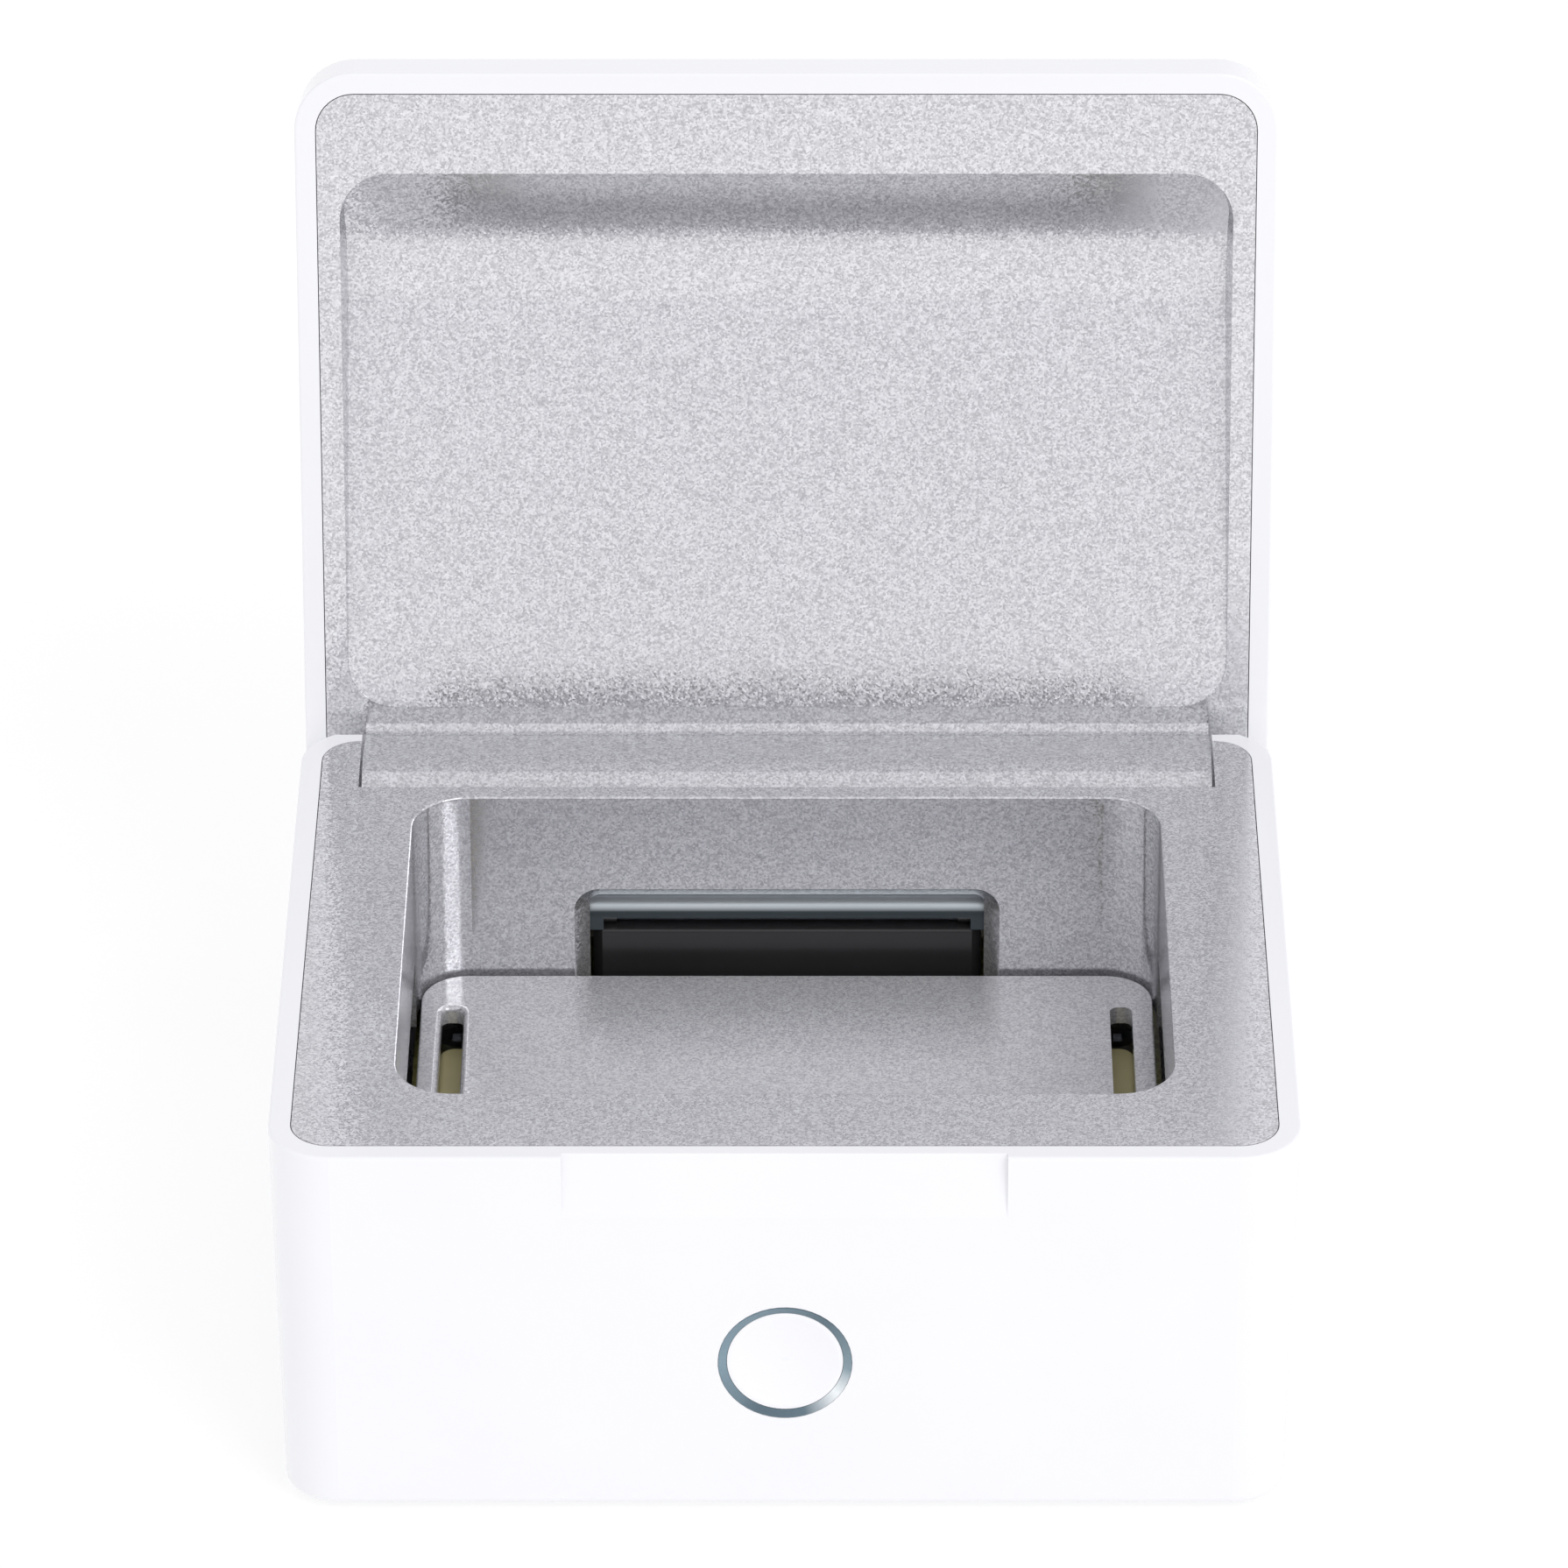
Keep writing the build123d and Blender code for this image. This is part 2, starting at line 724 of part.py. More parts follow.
    # rear window with a bevelled frame, open at the bottom
    window_height = rim_z - window_drop - skirt_z + 2 * window_bevel
    window_centre_z = rim_z - window_drop - window_height / 2
    rear_face = Plane(origin=(0, chamber_rear_y, 0), x_dir=(1, 0, 0), z_dir=(0, 1, 0))
    slab(
        rear_face,
        window_width,
        window_height,
        window_corner_r,
        window_bevel,
        at=(0, -window_centre_z),
        mode=Mode.SUBTRACT,
        taper=45,
    )
    slab(
        rear_face,
        window_width - 2 * window_bevel,
        window_height - 2 * window_bevel,
        window_corner_r - window_bevel,
        chamber_wall,
        at=(0, -window_centre_z),
        mode=Mode.SUBTRACT,
    )
    rods(
        Plane.XY.offset(base_plate_top),
        deck_posts,
        screw_shank_r + screw_fit,
        base_screw_length,
        Mode.SUBTRACT,
    )
    rods(
        Plane.XY.offset(deck_under_z),
        deck_magnets_at,
        magnet_r + sliding_fit,
        -magnet_thickness,
        Mode.SUBTRACT,
    )
write(deck_panel, "deck_panel")

tray_y = chamber_y
with BuildPart() as tray:
    slab(
        Plane.XY.offset(tray_under), tray_width, tray_depth, tray_corner_r, tray_thickness, (0, tray_y)
    )
    fillet(tray.faces().sort_by(Axis.Z)[-1].edges(), tray_edge_r)
    with BuildSketch(Plane.XY.offset(tray_under)):
        with Locations((0, tray_y)):
            with GridLocations(tray_slot_spacing, tray_slot_length, 2, 1):
                RectangleRounded(tray_slot_width, tray_slot_length, tray_slot_corner_r)
    extrude(amount=tray_thickness, mode=Mode.SUBTRACT)
    # the slots' inner edges are soft
    slot_inner_x = (tray_slot_spacing - tray_slot_width) / 2
    soft_edges = (
        tray.edges()
        .filter_by(Axis.Y)
        .filter_by_position(Axis.Z, tray_top, tray_top)
        .filter_by_position(Axis.X, -slot_inner_x, slot_inner_x)
    )
    fillet(soft_edges, tray_slot_soft_r)
write(tray, "tray")

with BuildPart() as deck_magnets:
    rods(Plane.XY.offset(deck_under_z), deck_magnets_at, magnet_r, -magnet_thickness)
write(deck_magnets, "deck_magnets")

with BuildPart() as hinge_pins:
    for side in (-1, 1):
        rods(
            Plane.YZ.offset(side * (notch_width / 2 - hinge_pin_in_block)),
            [(axis_y, axis_z)],
            hinge_pin_r,
            side * hinge_pin_length,
        )
write(hinge_pins, "hinge_pins")

# ---------------------------------------------------------------- base: button and its switch

with BuildPart() as button_ring:
    with BuildSketch(button_section):
        with BuildLine():
            Polyline(
                (ring_bore_r, -ring_set_back),
                (ring_bore_r + ring_lip, ring_proud),
                (ring_r, 0),
                (ring_r, -ring_seat),
                (ring_barrel_r, -ring_seat),
                (ring_barrel_r, -ring_end),
                (ring_bore_r, -ring_end),
                close=True,
            )
        make_face()
    revolve(axis=button_axis)
write(button_ring, "button_ring")

with BuildPart() as button_cap:
    flange_r = ring_bore_r + button_flange_overlap
    rods(front_plane.offset(-ring_set_back), [(0, 0)], button_r, ring_set_back - stem_front)
    rods(front_plane.offset(-flange_front), [(0, 0)], flange_r, -button_flange_thickness)
    rods(front_plane.offset(-stem_front), [(0, 0)], button_stem_r, -button_stem_length)
    # the face is a shallow dish
    dish_rim = button_r - ring_barrel_wall
    with BuildSketch(button_section):
        with BuildLine():
            dish_line = ThreePointArc(
                (-dish_rim, -ring_set_back),
                (0, -ring_set_back - button_dish),
                (dish_rim, -ring_set_back),
            )
            Line(dish_line @ 1, dish_line @ 0)
        make_face()
        Rectangle(dish_rim, 2 * button_r, align=(Align.MAX, Align.CENTER), mode=Mode.SUBTRACT)
    revolve(axis=button_axis, mode=Mode.SUBTRACT)
write(button_cap, "button_cap")

with BuildPart() as switch_plunger:
    rods(
        front_plane.offset(-plunger_front),
        [(0, 0)],
        switch_plunger_r,
        -switch_plunger_out - switch_plunger_in,
    )
write(switch_plunger, "switch_plunger")

with BuildPart() as tact_switch:
    slab(
        front_plane.offset(-switch_board_front), switch_size, switch_size, sliding_fit, switch_thickness
    )
    rods(
        front_plane.offset(-switch_front),
        [(0, 0)],
        switch_plunger_r + sliding_fit,
        -switch_plunger_in - button_travel - loose_fit,
        Mode.SUBTRACT,
    )
write(tact_switch, "tact_switch")

with BuildPart() as switch_board:
    slab(
        front_plane.offset(-switch_board_front - switch_board_thickness),
        switch_board_width,
        switch_board_height,
        switch_board_thickness,
        switch_board_thickness,
    )
    rods(
        front_plane.offset(-switch_board_front),
        switch_screws,
        screw_shank_r + screw_fit,
        -switch_board_thickness,
        Mode.SUBTRACT,
    )
write(switch_board, "switch_board")

with BuildPart() as switch_board_screws:
    switch_screw_seat = Plane(
        origin=front_plane.offset(-switch_board_front - switch_board_thickness).origin,
        x_dir=(1, 0, 0),
        z_dir=-front_plane.z_dir,
    )
    screws(switch_screw_seat, switch_screws, switch_board_thickness + screw_length / 2)
write(switch_board_screws, "switch_board_screws")

# ---------------------------------------------------------------- base: circuit board and what it carries

board_centre_y = (board_front_y + board_rear_y) / 2
with BuildPart() as circuit_board:
    slab(
        Plane.XY.offset(board_z),
        board_width,
        board_rear_y - board_front_y,
        board_corner_r,
        board_thickness,
        at=(0, board_centre_y),
    )
    slab(
        Plane.XY.offset(board_z),
        board_opening,
        board_opening,
        fan_corner_r,
        board_thickness,
        at=(0, chamber_y),
        mode=Mode.SUBTRACT,
    )
    rods(
        Plane.XY.offset(board_z),
        board_posts,
        screw_shank_r + screw_fit,
        board_thickness,
        Mode.SUBTRACT,
    )
write(circuit_board, "circuit_board")

with BuildPart() as board_screws:
    screws(Plane.XY.offset(board_top), board_posts, board_thickness + screw_length / 2)
write(board_screws, "board_screws")

with BuildPart() as control_chip:
    slab(
        Plane.XY.offset(board_top),
        chip_width,
        chip_depth,
        part_edge_r,
        chip_thickness,
        at=(0, parts_row_y),
    )
write(control_chip, "control_chip")

with BuildPart() as capacitors:
    first_x = lamp_board_width / 2 + part_gap + capacitor_r
    capacitor_xs = (first_x, first_x + 2 * capacitor_r + part_gap)
    capacitor_y = chamber_outer_rear_y + part_gap + capacitor_r
    capacitors_at = [(x, capacitor_y) for x in capacitor_xs]
    rods(Plane.XY.offset(board_top), capacitors_at, capacitor_r, capacitor_height)
    fillet(capacitors.faces().filter_by(Axis.Z).group_by(Axis.Z)[-1].edges(), part_edge_r)
write(capacitors, "capacitors")

with BuildPart() as thermal_cutoff:
    slab(
        Plane.XY.offset(board_top),
        cutoff_length,
        cutoff_width,
        part_edge_r,
        cutoff_thickness,
        at=(fan_size / 2, parts_row_y),
    )
write(thermal_cutoff, "thermal_cutoff")

# ---------------------------------------------------------------- base: fan, heater and duct

with BuildPart() as fan_frame:
    slab(Plane.XY.offset(fan_bottom), fan_size, fan_size, fan_corner_r, fan_height, (0, chamber_y))
    rods(Plane.XY.offset(fan_bottom), [(0, chamber_y)], fan_bore_r, fan_height, Mode.SUBTRACT)
    with BuildSketch(Plane.XY.offset(fan_bottom)):
        with Locations((0, chamber_y)):
            Circle(fan_hub_plate_r)
            for angle in (45, 135):
                Rectangle(2 * fan_bore_r + fan_strut_width / 2, fan_strut_width, rotation=angle)
    extrude(amount=fan_hub_plate_thickness)
    rods(
        Plane.XY.offset(fan_bottom), fan_holes, screw_shank_r + loose_fit, fan_height, Mode.SUBTRACT
    )
write(fan_frame, "fan_frame")

stator_bottom = fan_bottom + fan_hub_plate_thickness
with BuildPart() as fan_stator:
    rods(Plane.XY.offset(stator_bottom), [(0, chamber_y)], fan_stator_r, fan_stator_height)
    rods(
        Plane.XY.offset(stator_bottom),
        [(0, chamber_y)],
        fan_shaft_r + sliding_fit,
        fan_stator_height,
        Mode.SUBTRACT,
    )
    # slots between the coils
    with BuildSketch(Plane.XY.offset(stator_bottom)):
        with Locations((0, chamber_y)):
            with PolarLocations(fan_stator_r, 4, start_angle=45):
                Rectangle(fan_stator_r, fan_shaft_r)
    extrude(amount=fan_stator_height, mode=Mode.SUBTRACT)
write(fan_stator, "fan_stator")

with BuildPart() as fan_rotor:
    rods(Plane.XY.offset(fan_hub_top), [(0, chamber_y)], fan_hub_r, -fan_hub_height)
    blade_reach = fan_bore_r - fan_tip_clearance
    with Locations((0, chamber_y, fan_hub_top - fan_hub_height / 2)):
        with PolarLocations(0, fan_blades):
            with Locations(Location((0, 0, 0), (fan_blade_pitch, 0, 0))):
                Box(
                    blade_reach,
                    fan_blade_thickness,
                    fan_blade_chord,
                    align=(Align.MIN, Align.CENTER, Align.CENTER),
                )
    rods(
        Plane.XY.offset(fan_hub_top),
        [(0, chamber_y)],
        blade_reach,
        -fan_hub_height,
        Mode.INTERSECT,
    )
    rods(
        Plane.XY.offset(fan_hub_top - fan_hub_wall),
        [(0, chamber_y)],
        fan_hub_r - fan_hub_wall,
        -fan_hub_height,
        Mode.SUBTRACT,
    )
write(fan_rotor, "fan_rotor")

with BuildPart() as fan_shaft:
    rods(
        Plane.XY.offset(fan_hub_top - fan_hub_wall),
        [(0, chamber_y)],
        fan_shaft_r,
        -fan_shaft_length,
    )
write(fan_shaft, "fan_shaft")

with BuildPart() as fan_screws:
    screws(Plane.XY.offset(fan_top), fan_holes, fan_height + base_plate_thickness / 2)
write(fan_screws, "fan_screws")

with BuildPart() as air_duct:
    slab(
        Plane.XY.offset(board_top),
        duct_width,
        duct_depth,
        duct_corner_r,
        duct_height,
        at=(0, chamber_y),
    )
    fillet(air_duct.faces().sort_by(Axis.Z)[-1].edges(), duct_edge_r)
    slab(
        Plane.XY.offset(board_top),
        duct_width - 2 * duct_wall,
        duct_depth - 2 * duct_wall,
        duct_corner_r - duct_wall,
        duct_height - duct_wall,
        at=(0, chamber_y),
        mode=Mode.SUBTRACT,
    )
    with BuildSketch(Plane.XY.offset(board_top)):
        with Locations((0, chamber_y)):
            with PolarLocations(outlet_ring_r, outlet_slots):
                SlotOverall(outlet_slot_length, outlet_slot_width)
    extrude(amount=duct_height, mode=Mode.SUBTRACT)
write(air_duct, "air_duct")

with BuildPart() as heater_plate:
    heater_top = duct_top - duct_wall
    rods(Plane.XY.offset(heater_top), [(0, chamber_y)], heater_r, -heater_thickness)
    with BuildSketch(Plane.XY.offset(heater_top)):
        with Locations((0, chamber_y)):
            with PolarLocations(outlet_ring_r, outlet_slots):
                SlotOverall(outlet_slot_length, outlet_slot_width)
    extrude(amount=-heater_thickness, mode=Mode.SUBTRACT)
write(heater_plate, "heater_plate")

# ---------------------------------------------------------------- base: lamp

lamp_centre_y = (lamp_front_y + lamp_back_y) / 2
with BuildPart() as lamp_box:
    with BuildSketch(Plane.XY.offset(board_top)):
        with Locations((0, lamp_centre_y)):
            Rectangle(lamp_box_width, lamp_box_depth)
    extrude(amount=lamp_box_top - board_top)
    chamfer(lamp_box.edges().filter_by(Axis.Z), lamp_box_chamfer)
    fillet(lamp_box.faces().sort_by(Axis.Z)[-1].edges(), lamp_box_edge_r)
write(lamp_box, "lamp_box")

hood_inner_r = hood_r - hood_wall
with BuildPart() as lamp_hood:
    with BuildSketch(Plane.YZ):
        with Locations((lamp_axis_y, lamp_axis_z)):
            Circle(hood_r)
            Rectangle(2 * hood_r, hood_r, align=(Align.CENTER, Align.MAX), mode=Mode.SUBTRACT)
            Rectangle(2 * hood_r, hood_skirt, align=(Align.CENTER, Align.MAX))
            Circle(hood_inner_r, mode=Mode.SUBTRACT)
            Rectangle(
                2 * hood_inner_r, hood_skirt, align=(Align.CENTER, Align.MAX), mode=Mode.SUBTRACT
            )
    extrude(amount=hood_width / 2, both=True)
    # the front skirt is left only as a lip at each end
    with BuildSketch(Plane.YZ):
        with Locations((lamp_axis_y, lamp_axis_z)):
            Rectangle(2 * hood_r, hood_skirt, align=(Align.MAX, Align.MAX))
    extrude(amount=hood_width / 2 - hood_lip, both=True, mode=Mode.SUBTRACT)
write(lamp_hood, "lamp_hood")

with BuildPart() as uv_lamp:
    rods(Plane.YZ.offset(-lamp_length / 2), [(lamp_axis_y, lamp_axis_z)], lamp_r, lamp_length)
write(uv_lamp, "uv_lamp")

with BuildPart() as lamp_caps:
    for side in (-1, 1):
        rods(
            Plane.YZ.offset(side * lamp_length / 2),
            [(lamp_axis_y, lamp_axis_z)],
            lamp_cap_r,
            side * lamp_cap_length,
        )
write(lamp_caps, "lamp_caps")

lamp_board_y = lamp_back_y + board_thickness / 2
with BuildPart() as lamp_board:
    slab(
        Plane.XY.offset(board_top),
        lamp_board_width,
        board_thickness,
        loose_fit,
        lamp_board_height,
        (0, lamp_board_y),
    )
write(lamp_board, "lamp_board")

with BuildPart() as lamp_bracket:
    slab(
        Plane.XY.offset(board_top + lamp_board_height),
        lamp_board_width,
        board_thickness,
        loose_fit,
        lamp_bracket_height,
        (0, lamp_board_y),
    )
write(lamp_bracket, "lamp_bracket")

# ---------------------------------------------------------------- base: power socket

with BuildPart() as power_socket:
    with BuildSketch(Plane.XY.offset(board_top)):
        with Locations((socket_x, socket_rear_y)):
            Rectangle(socket_body_width, socket_body_depth, align=(Align.CENTER, Align.MAX))
    extrude(amount=socket_body_height)
    barrel_end_y = half_depth - lean(socket_z) - socket_barrel_recess
    barrel_end = Plane.XZ.offset(-barrel_end_y)
    socket_at = [(socket_x, socket_z)]
    rods(barrel_end, socket_at, socket_barrel_r, barrel_end_y - socket_rear_y)
    rods(barrel_end, socket_at, socket_bore_r, socket_bore_depth, Mode.SUBTRACT)
write(power_socket, "power_socket")

with BuildPart() as socket_pin:
    rods(
        barrel_end.offset(socket_bore_depth), socket_at, socket_pin_r, -socket_pin_length
    )
write(socket_pin, "socket_pin")

# ---------------------------------------------------------------- lid


def lid_slab(start, width, depth, corner_r, height, at=lid_centre, mode=Mode.ADD, taper=0.0):
    """A rounded rectangle raised outwards in the lid, from a distance above its rim plane."""
    slab(lid_rim.offset(start), width, depth, corner_r, height, at, mode, taper)


def relieve_rear_corners():
    """Clears the turned rear corners of the case, in the part being built."""
    for side in (-1, 1):
        start = Plane.YZ.offset(side * block_half)
        rods(start, [(axis_y, axis_z)], relief_r, side * case_width / 2, Mode.SUBTRACT)


with BuildPart() as lid_shell:
    lid_slab(0, case_width, case_depth, case_corner_r, lid_thickness, taper=case_draft)
    fillet(lid_shell.faces().sort_by(lid_outward)[-1].edges(), lid_edge_r)
    fillet(lid_shell.faces().sort_by(lid_outward)[0].edges(), rim_edge_r)
    lid_cavity = lid_thickness - lid_top_wall
    lid_slab(0, cavity_width, cavity_depth, cavity_corner_r, lid_cavity, mode=Mode.SUBTRACT)
    # ledge that the liner seats on
    with BuildSketch(lid_rim.offset(liner_thickness)):
        with Locations(lid_centre):
            RectangleRounded(
                cavity_width + case_wall, cavity_depth + case_wall, cavity_corner_r + case_wall / 2
            )
            RectangleRounded(
                cavity_width - ledge_width,
                cavity_depth - 2 * ledge_width,
                cavity_corner_r,
                mode=Mode.SUBTRACT,
            )
    extrude(amount=ledge_height)
    relieve_rear_corners()
write(lid_shell, "lid_shell")

recess_width = case_width - 2 * recess_inset_beside
recess_front = lid_front + recess_inset_front
recess_rear = lid_front + case_depth - recess_inset_rear
recess_length = recess_rear - recess_front
recess_y = (recess_front + recess_rear) / 2
with BuildPart() as lid_liner:
    lid_slab(0, panel_width, panel_depth, panel_corner_r, liner_thickness)
    lid_slab(
        0,
        recess_width + 2 * liner_pan_wall,
        recess_length + 2 * liner_pan_wall,
        recess_corner_r + liner_pan_wall,
        recess_sink + liner_thickness,
        at=(0, recess_y),
    )
    # hinge block: flat in front, round below the axis, flush with the lid's rear face
    block_rear = hinge_back - hinge_block_gap
    liner_rear = -axis_y + panel_depth / 2
    cove = hinge_block_fillet_r
    with BuildSketch(lid_section):
        with BuildLine():
            ThreePointArc(
                (-hinge_block_r - cove, lid_rise),
                (
                    -hinge_block_r - cove + cove * sin(radians(45)),
                    lid_rise - cove + cove * cos(radians(45)),
                ),
                (-hinge_block_r, lid_rise - cove),
            )
            Line((-hinge_block_r, lid_rise - cove), (-hinge_block_r, 0))
            ThreePointArc(
                (-hinge_block_r, 0),
                (0, -hinge_block_r),
                (block_rear, -sqrt(hinge_block_r**2 - block_rear**2)),
            )
            Polyline(
                (block_rear, -sqrt(hinge_block_r**2 - block_rear**2)),
                (block_rear, lid_rise),
                (liner_rear, lid_rise),
                (liner_rear, lid_rise + liner_thickness),
                (-hinge_block_r - cove, lid_rise + liner_thickness),
                (-hinge_block_r - cove, lid_rise),
            )
        make_face()
    extrude(amount=block_half, both=True)
    # the recess: its floor slopes down from the rear edge to a long round below the front edge
    front_edge = Vector(recess_front, lid_rise)
    rear_edge = Vector(recess_rear, lid_rise)
    foot = Vector(recess_front + recess_scoop, lid_rise + recess_sink)
    with BuildSketch(lid_section):
        with BuildLine():
            Line(rear_edge, foot)
            TangentArc(foot, front_edge, tangent=foot - rear_edge)
            Line(front_edge, rear_edge)
        make_face()
    scoop = extrude(amount=recess_width, both=True, mode=Mode.PRIVATE)
    with BuildSketch(lid_rim) as recess_outline:
        with Locations((0, recess_y)):
            RectangleRounded(recess_width, recess_length, recess_corner_r)
    well = extrude(
        recess_outline.sketch, amount=2 * recess_sink, taper=recess_side_draft, mode=Mode.PRIVATE
    )
    add(scoop & well, mode=Mode.SUBTRACT)
    # the block is cored out from behind
    core_front = -hinge_block_r + hinge_block_core_wall
    core_rear = liner_rear - hinge_block_core_wall / 2
    core_bottom = liner_thickness - hinge_block_core_depth - hinge_block_core_wall
    lid_slab(
        core_bottom,
        notch_width - 2 * (hinge_pin_in_block + hinge_block_core_wall),
        core_rear - core_front,
        hinge_block_fillet_r,
        hinge_block_core_depth + 2 * hinge_block_core_wall,
        at=(0, (core_front + core_rear) / 2),
        mode=Mode.SUBTRACT,
    )
    for side in (-1, 1):
        rods(
            Plane.YZ.offset(side * block_half),
            [(axis_y, axis_z)],
            hinge_pin_r + sliding_fit,
            -side * (hinge_pin_in_block + loose_fit - hinge_block_end_gap),
            Mode.SUBTRACT,
        )
    relieve_rear_corners()
    # cups for the magnets, behind the front margin
    cup_plane = lid_rim.offset(liner_thickness)
    cup_r = magnet_r + sliding_fit
    rods(cup_plane, lid_magnets_at, cup_r + magnet_cup_wall, magnet_thickness)
    rods(cup_plane, lid_magnets_at, cup_r, magnet_thickness, Mode.SUBTRACT)
write(lid_liner, "lid_liner")

with BuildPart() as lid_magnets:
    rods(cup_plane, lid_magnets_at, magnet_r, magnet_thickness)
write(lid_magnets, "lid_magnets")
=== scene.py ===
"""Looks of the hearing aid dryer: its finishes, its fine pieces, the light and the camera.

Everything is in metres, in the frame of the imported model: X points right, Y back and Z up, from the
middle of the case's footprint on the surface that the dryer stands on.
"""

import logging
import math
from dataclasses import dataclass
from enum import Enum
from typing import Any

import bpy
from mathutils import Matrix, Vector


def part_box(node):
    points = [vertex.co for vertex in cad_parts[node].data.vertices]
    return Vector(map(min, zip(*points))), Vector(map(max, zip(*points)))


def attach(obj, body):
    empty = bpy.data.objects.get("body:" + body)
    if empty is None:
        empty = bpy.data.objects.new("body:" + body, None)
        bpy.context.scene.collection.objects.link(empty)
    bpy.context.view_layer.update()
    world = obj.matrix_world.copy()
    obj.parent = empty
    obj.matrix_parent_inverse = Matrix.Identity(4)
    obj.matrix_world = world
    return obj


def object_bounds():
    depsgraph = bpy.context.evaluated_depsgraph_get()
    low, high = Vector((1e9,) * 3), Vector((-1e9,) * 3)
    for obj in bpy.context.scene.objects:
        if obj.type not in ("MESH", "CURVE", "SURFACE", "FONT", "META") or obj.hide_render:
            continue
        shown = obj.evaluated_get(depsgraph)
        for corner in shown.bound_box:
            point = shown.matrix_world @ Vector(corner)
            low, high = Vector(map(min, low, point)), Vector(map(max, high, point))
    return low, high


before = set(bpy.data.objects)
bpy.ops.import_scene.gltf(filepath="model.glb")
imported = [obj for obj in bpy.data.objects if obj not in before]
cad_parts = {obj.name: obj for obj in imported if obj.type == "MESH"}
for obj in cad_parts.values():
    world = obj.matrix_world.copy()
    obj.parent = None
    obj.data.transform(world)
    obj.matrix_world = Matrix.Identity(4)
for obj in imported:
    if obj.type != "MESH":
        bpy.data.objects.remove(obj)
CAD_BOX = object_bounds()

MM = 0.001
# below this roughness a highlight shrinks to a few speckled pixels
LEAST_ROUGHNESS = 0.02
# a Mix node's sockets by index, because several of them share a name
MIX_FACTOR = 0
MIX_FLOAT_A, MIX_FLOAT_B = 2, 3
MIX_COLOUR_A, MIX_COLOUR_B, MIX_COLOUR_OUT = 6, 7, 2
NO_SHIFT = (0.0, 0.0, 0.0)
log = logging.getLogger("dryer")


# ---------------------------------------------------------------- nodes and meshes


def linear(hex_colour: str, alpha: float = 1.0) -> tuple[float, float, float, float]:
    """Turns an sRGB hex colour into the linear colour that shaders use.

    Args:
        hex_colour: Six hex digits.
        alpha: The fourth value, passed on as it is.

    Returns:
        Red, green, blue and alpha.
    """
    channels = [int(hex_colour[i : i + 2], 16) / 255 for i in (0, 2, 4)]
    straight = [c / 12.92 if c <= 0.04045 else ((c + 0.055) / 1.055) ** 2.4 for c in channels]
    return (straight[0], straight[1], straight[2], alpha)


def add_node(
    tree: bpy.types.NodeTree, kind: str, inputs: dict[Any, Any] | None = None, **settings: Any
) -> bpy.types.Node:
    """Adds a node with its settings and links.

    Args:
        tree: The tree that the node goes into.
        kind: Blender's name for the kind of node.
        inputs: An input's name or index, to the output linked to it or to its value.
        **settings: The node's own properties.

    Returns:
        The new node.
    """
    node = tree.nodes.new(kind)
    for name, value in settings.items():
        setattr(node, name, value)
    for key, value in (inputs or {}).items():
        if isinstance(value, bpy.types.NodeSocket):
            tree.links.new(value, node.inputs[key])
        else:
            node.inputs[key].default_value = value
    return node


def waves_per_metre(size_mm: float) -> float:
    """The scale of a pattern on Object coordinates whose features are size_mm apart."""
    return 1000.0 / size_mm


# ---------------------------------------------------------------- finishes


@dataclass(frozen=True)
class Finish:
    """What a surface is made of and how it was worked.

    Attributes:
        name: The material's name, after what the real one is.
        colour: Its sRGB colour.
        roughness: How dull its gloss is.
        metallic: 1 for bare metal.
        ior: Index of refraction.
        coat: How much clear lacquer lies on it.
        coat_roughness: How dull that lacquer is.
    """

    name: str
    colour: str
    roughness: float
    metallic: float = 0.0
    ior: float = 1.5
    coat: float = 0.0
    coat_roughness: float = 0.03

    def material(self) -> bpy.types.Material:
        """Builds the material, but only once.

        Returns:
            The material.
        """
        known = bpy.data.materials.get(self.name)
        if known:
            return known
        material = bpy.data.materials.new(self.name)
        material.use_nodes = True
        tree = material.node_tree
        shader = tree.nodes["Principled BSDF"]
        values = {
            "Base Color": linear(self.colour),
            "Roughness": self.roughness,
            "Metallic": self.metallic,
            "IOR": self.ior,
            "Coat Weight": self.coat,
            "Coat Roughness": self.coat_roughness,
        }
        for socket, value in values.items():
            shader.inputs[socket].default_value = value
        place = add_node(tree, "ShaderNodeTexCoord").outputs["Object"]
        self.detail(tree, shader, place)
        return material

    def detail(
        self, tree: bpy.types.NodeTree, shader: bpy.types.Node, place: bpy.types.NodeSocket
    ) -> None:
        """Adds what makes this surface more than one flat colour.

        Args:
            tree: The material's nodes.
            shader: Its Principled shader.
            place: Object coordinates.
        """
        raise NotImplementedError

    def tone(
        self,
        tree: bpy.types.NodeTree,
        shader: bpy.types.Node,
        factor: bpy.types.NodeSocket,
        other: str,
    ) -> None:
        """Mixes the base colour with another by a pattern.

        Args:
            tree: The material's nodes.
            shader: Its Principled shader.
            factor: The pattern, 0 for the finish's own colour and 1 for the other.
            other: The other sRGB colour.
        """
        mix = add_node(
            tree,
            "ShaderNodeMix",
            {
                MIX_FACTOR: factor,
                MIX_COLOUR_A: linear(self.colour),
                MIX_COLOUR_B: linear(other),
            },
            data_type="RGBA",
        )
        tree.links.new(mix.outputs[MIX_COLOUR_OUT], shader.inputs["Base Color"])


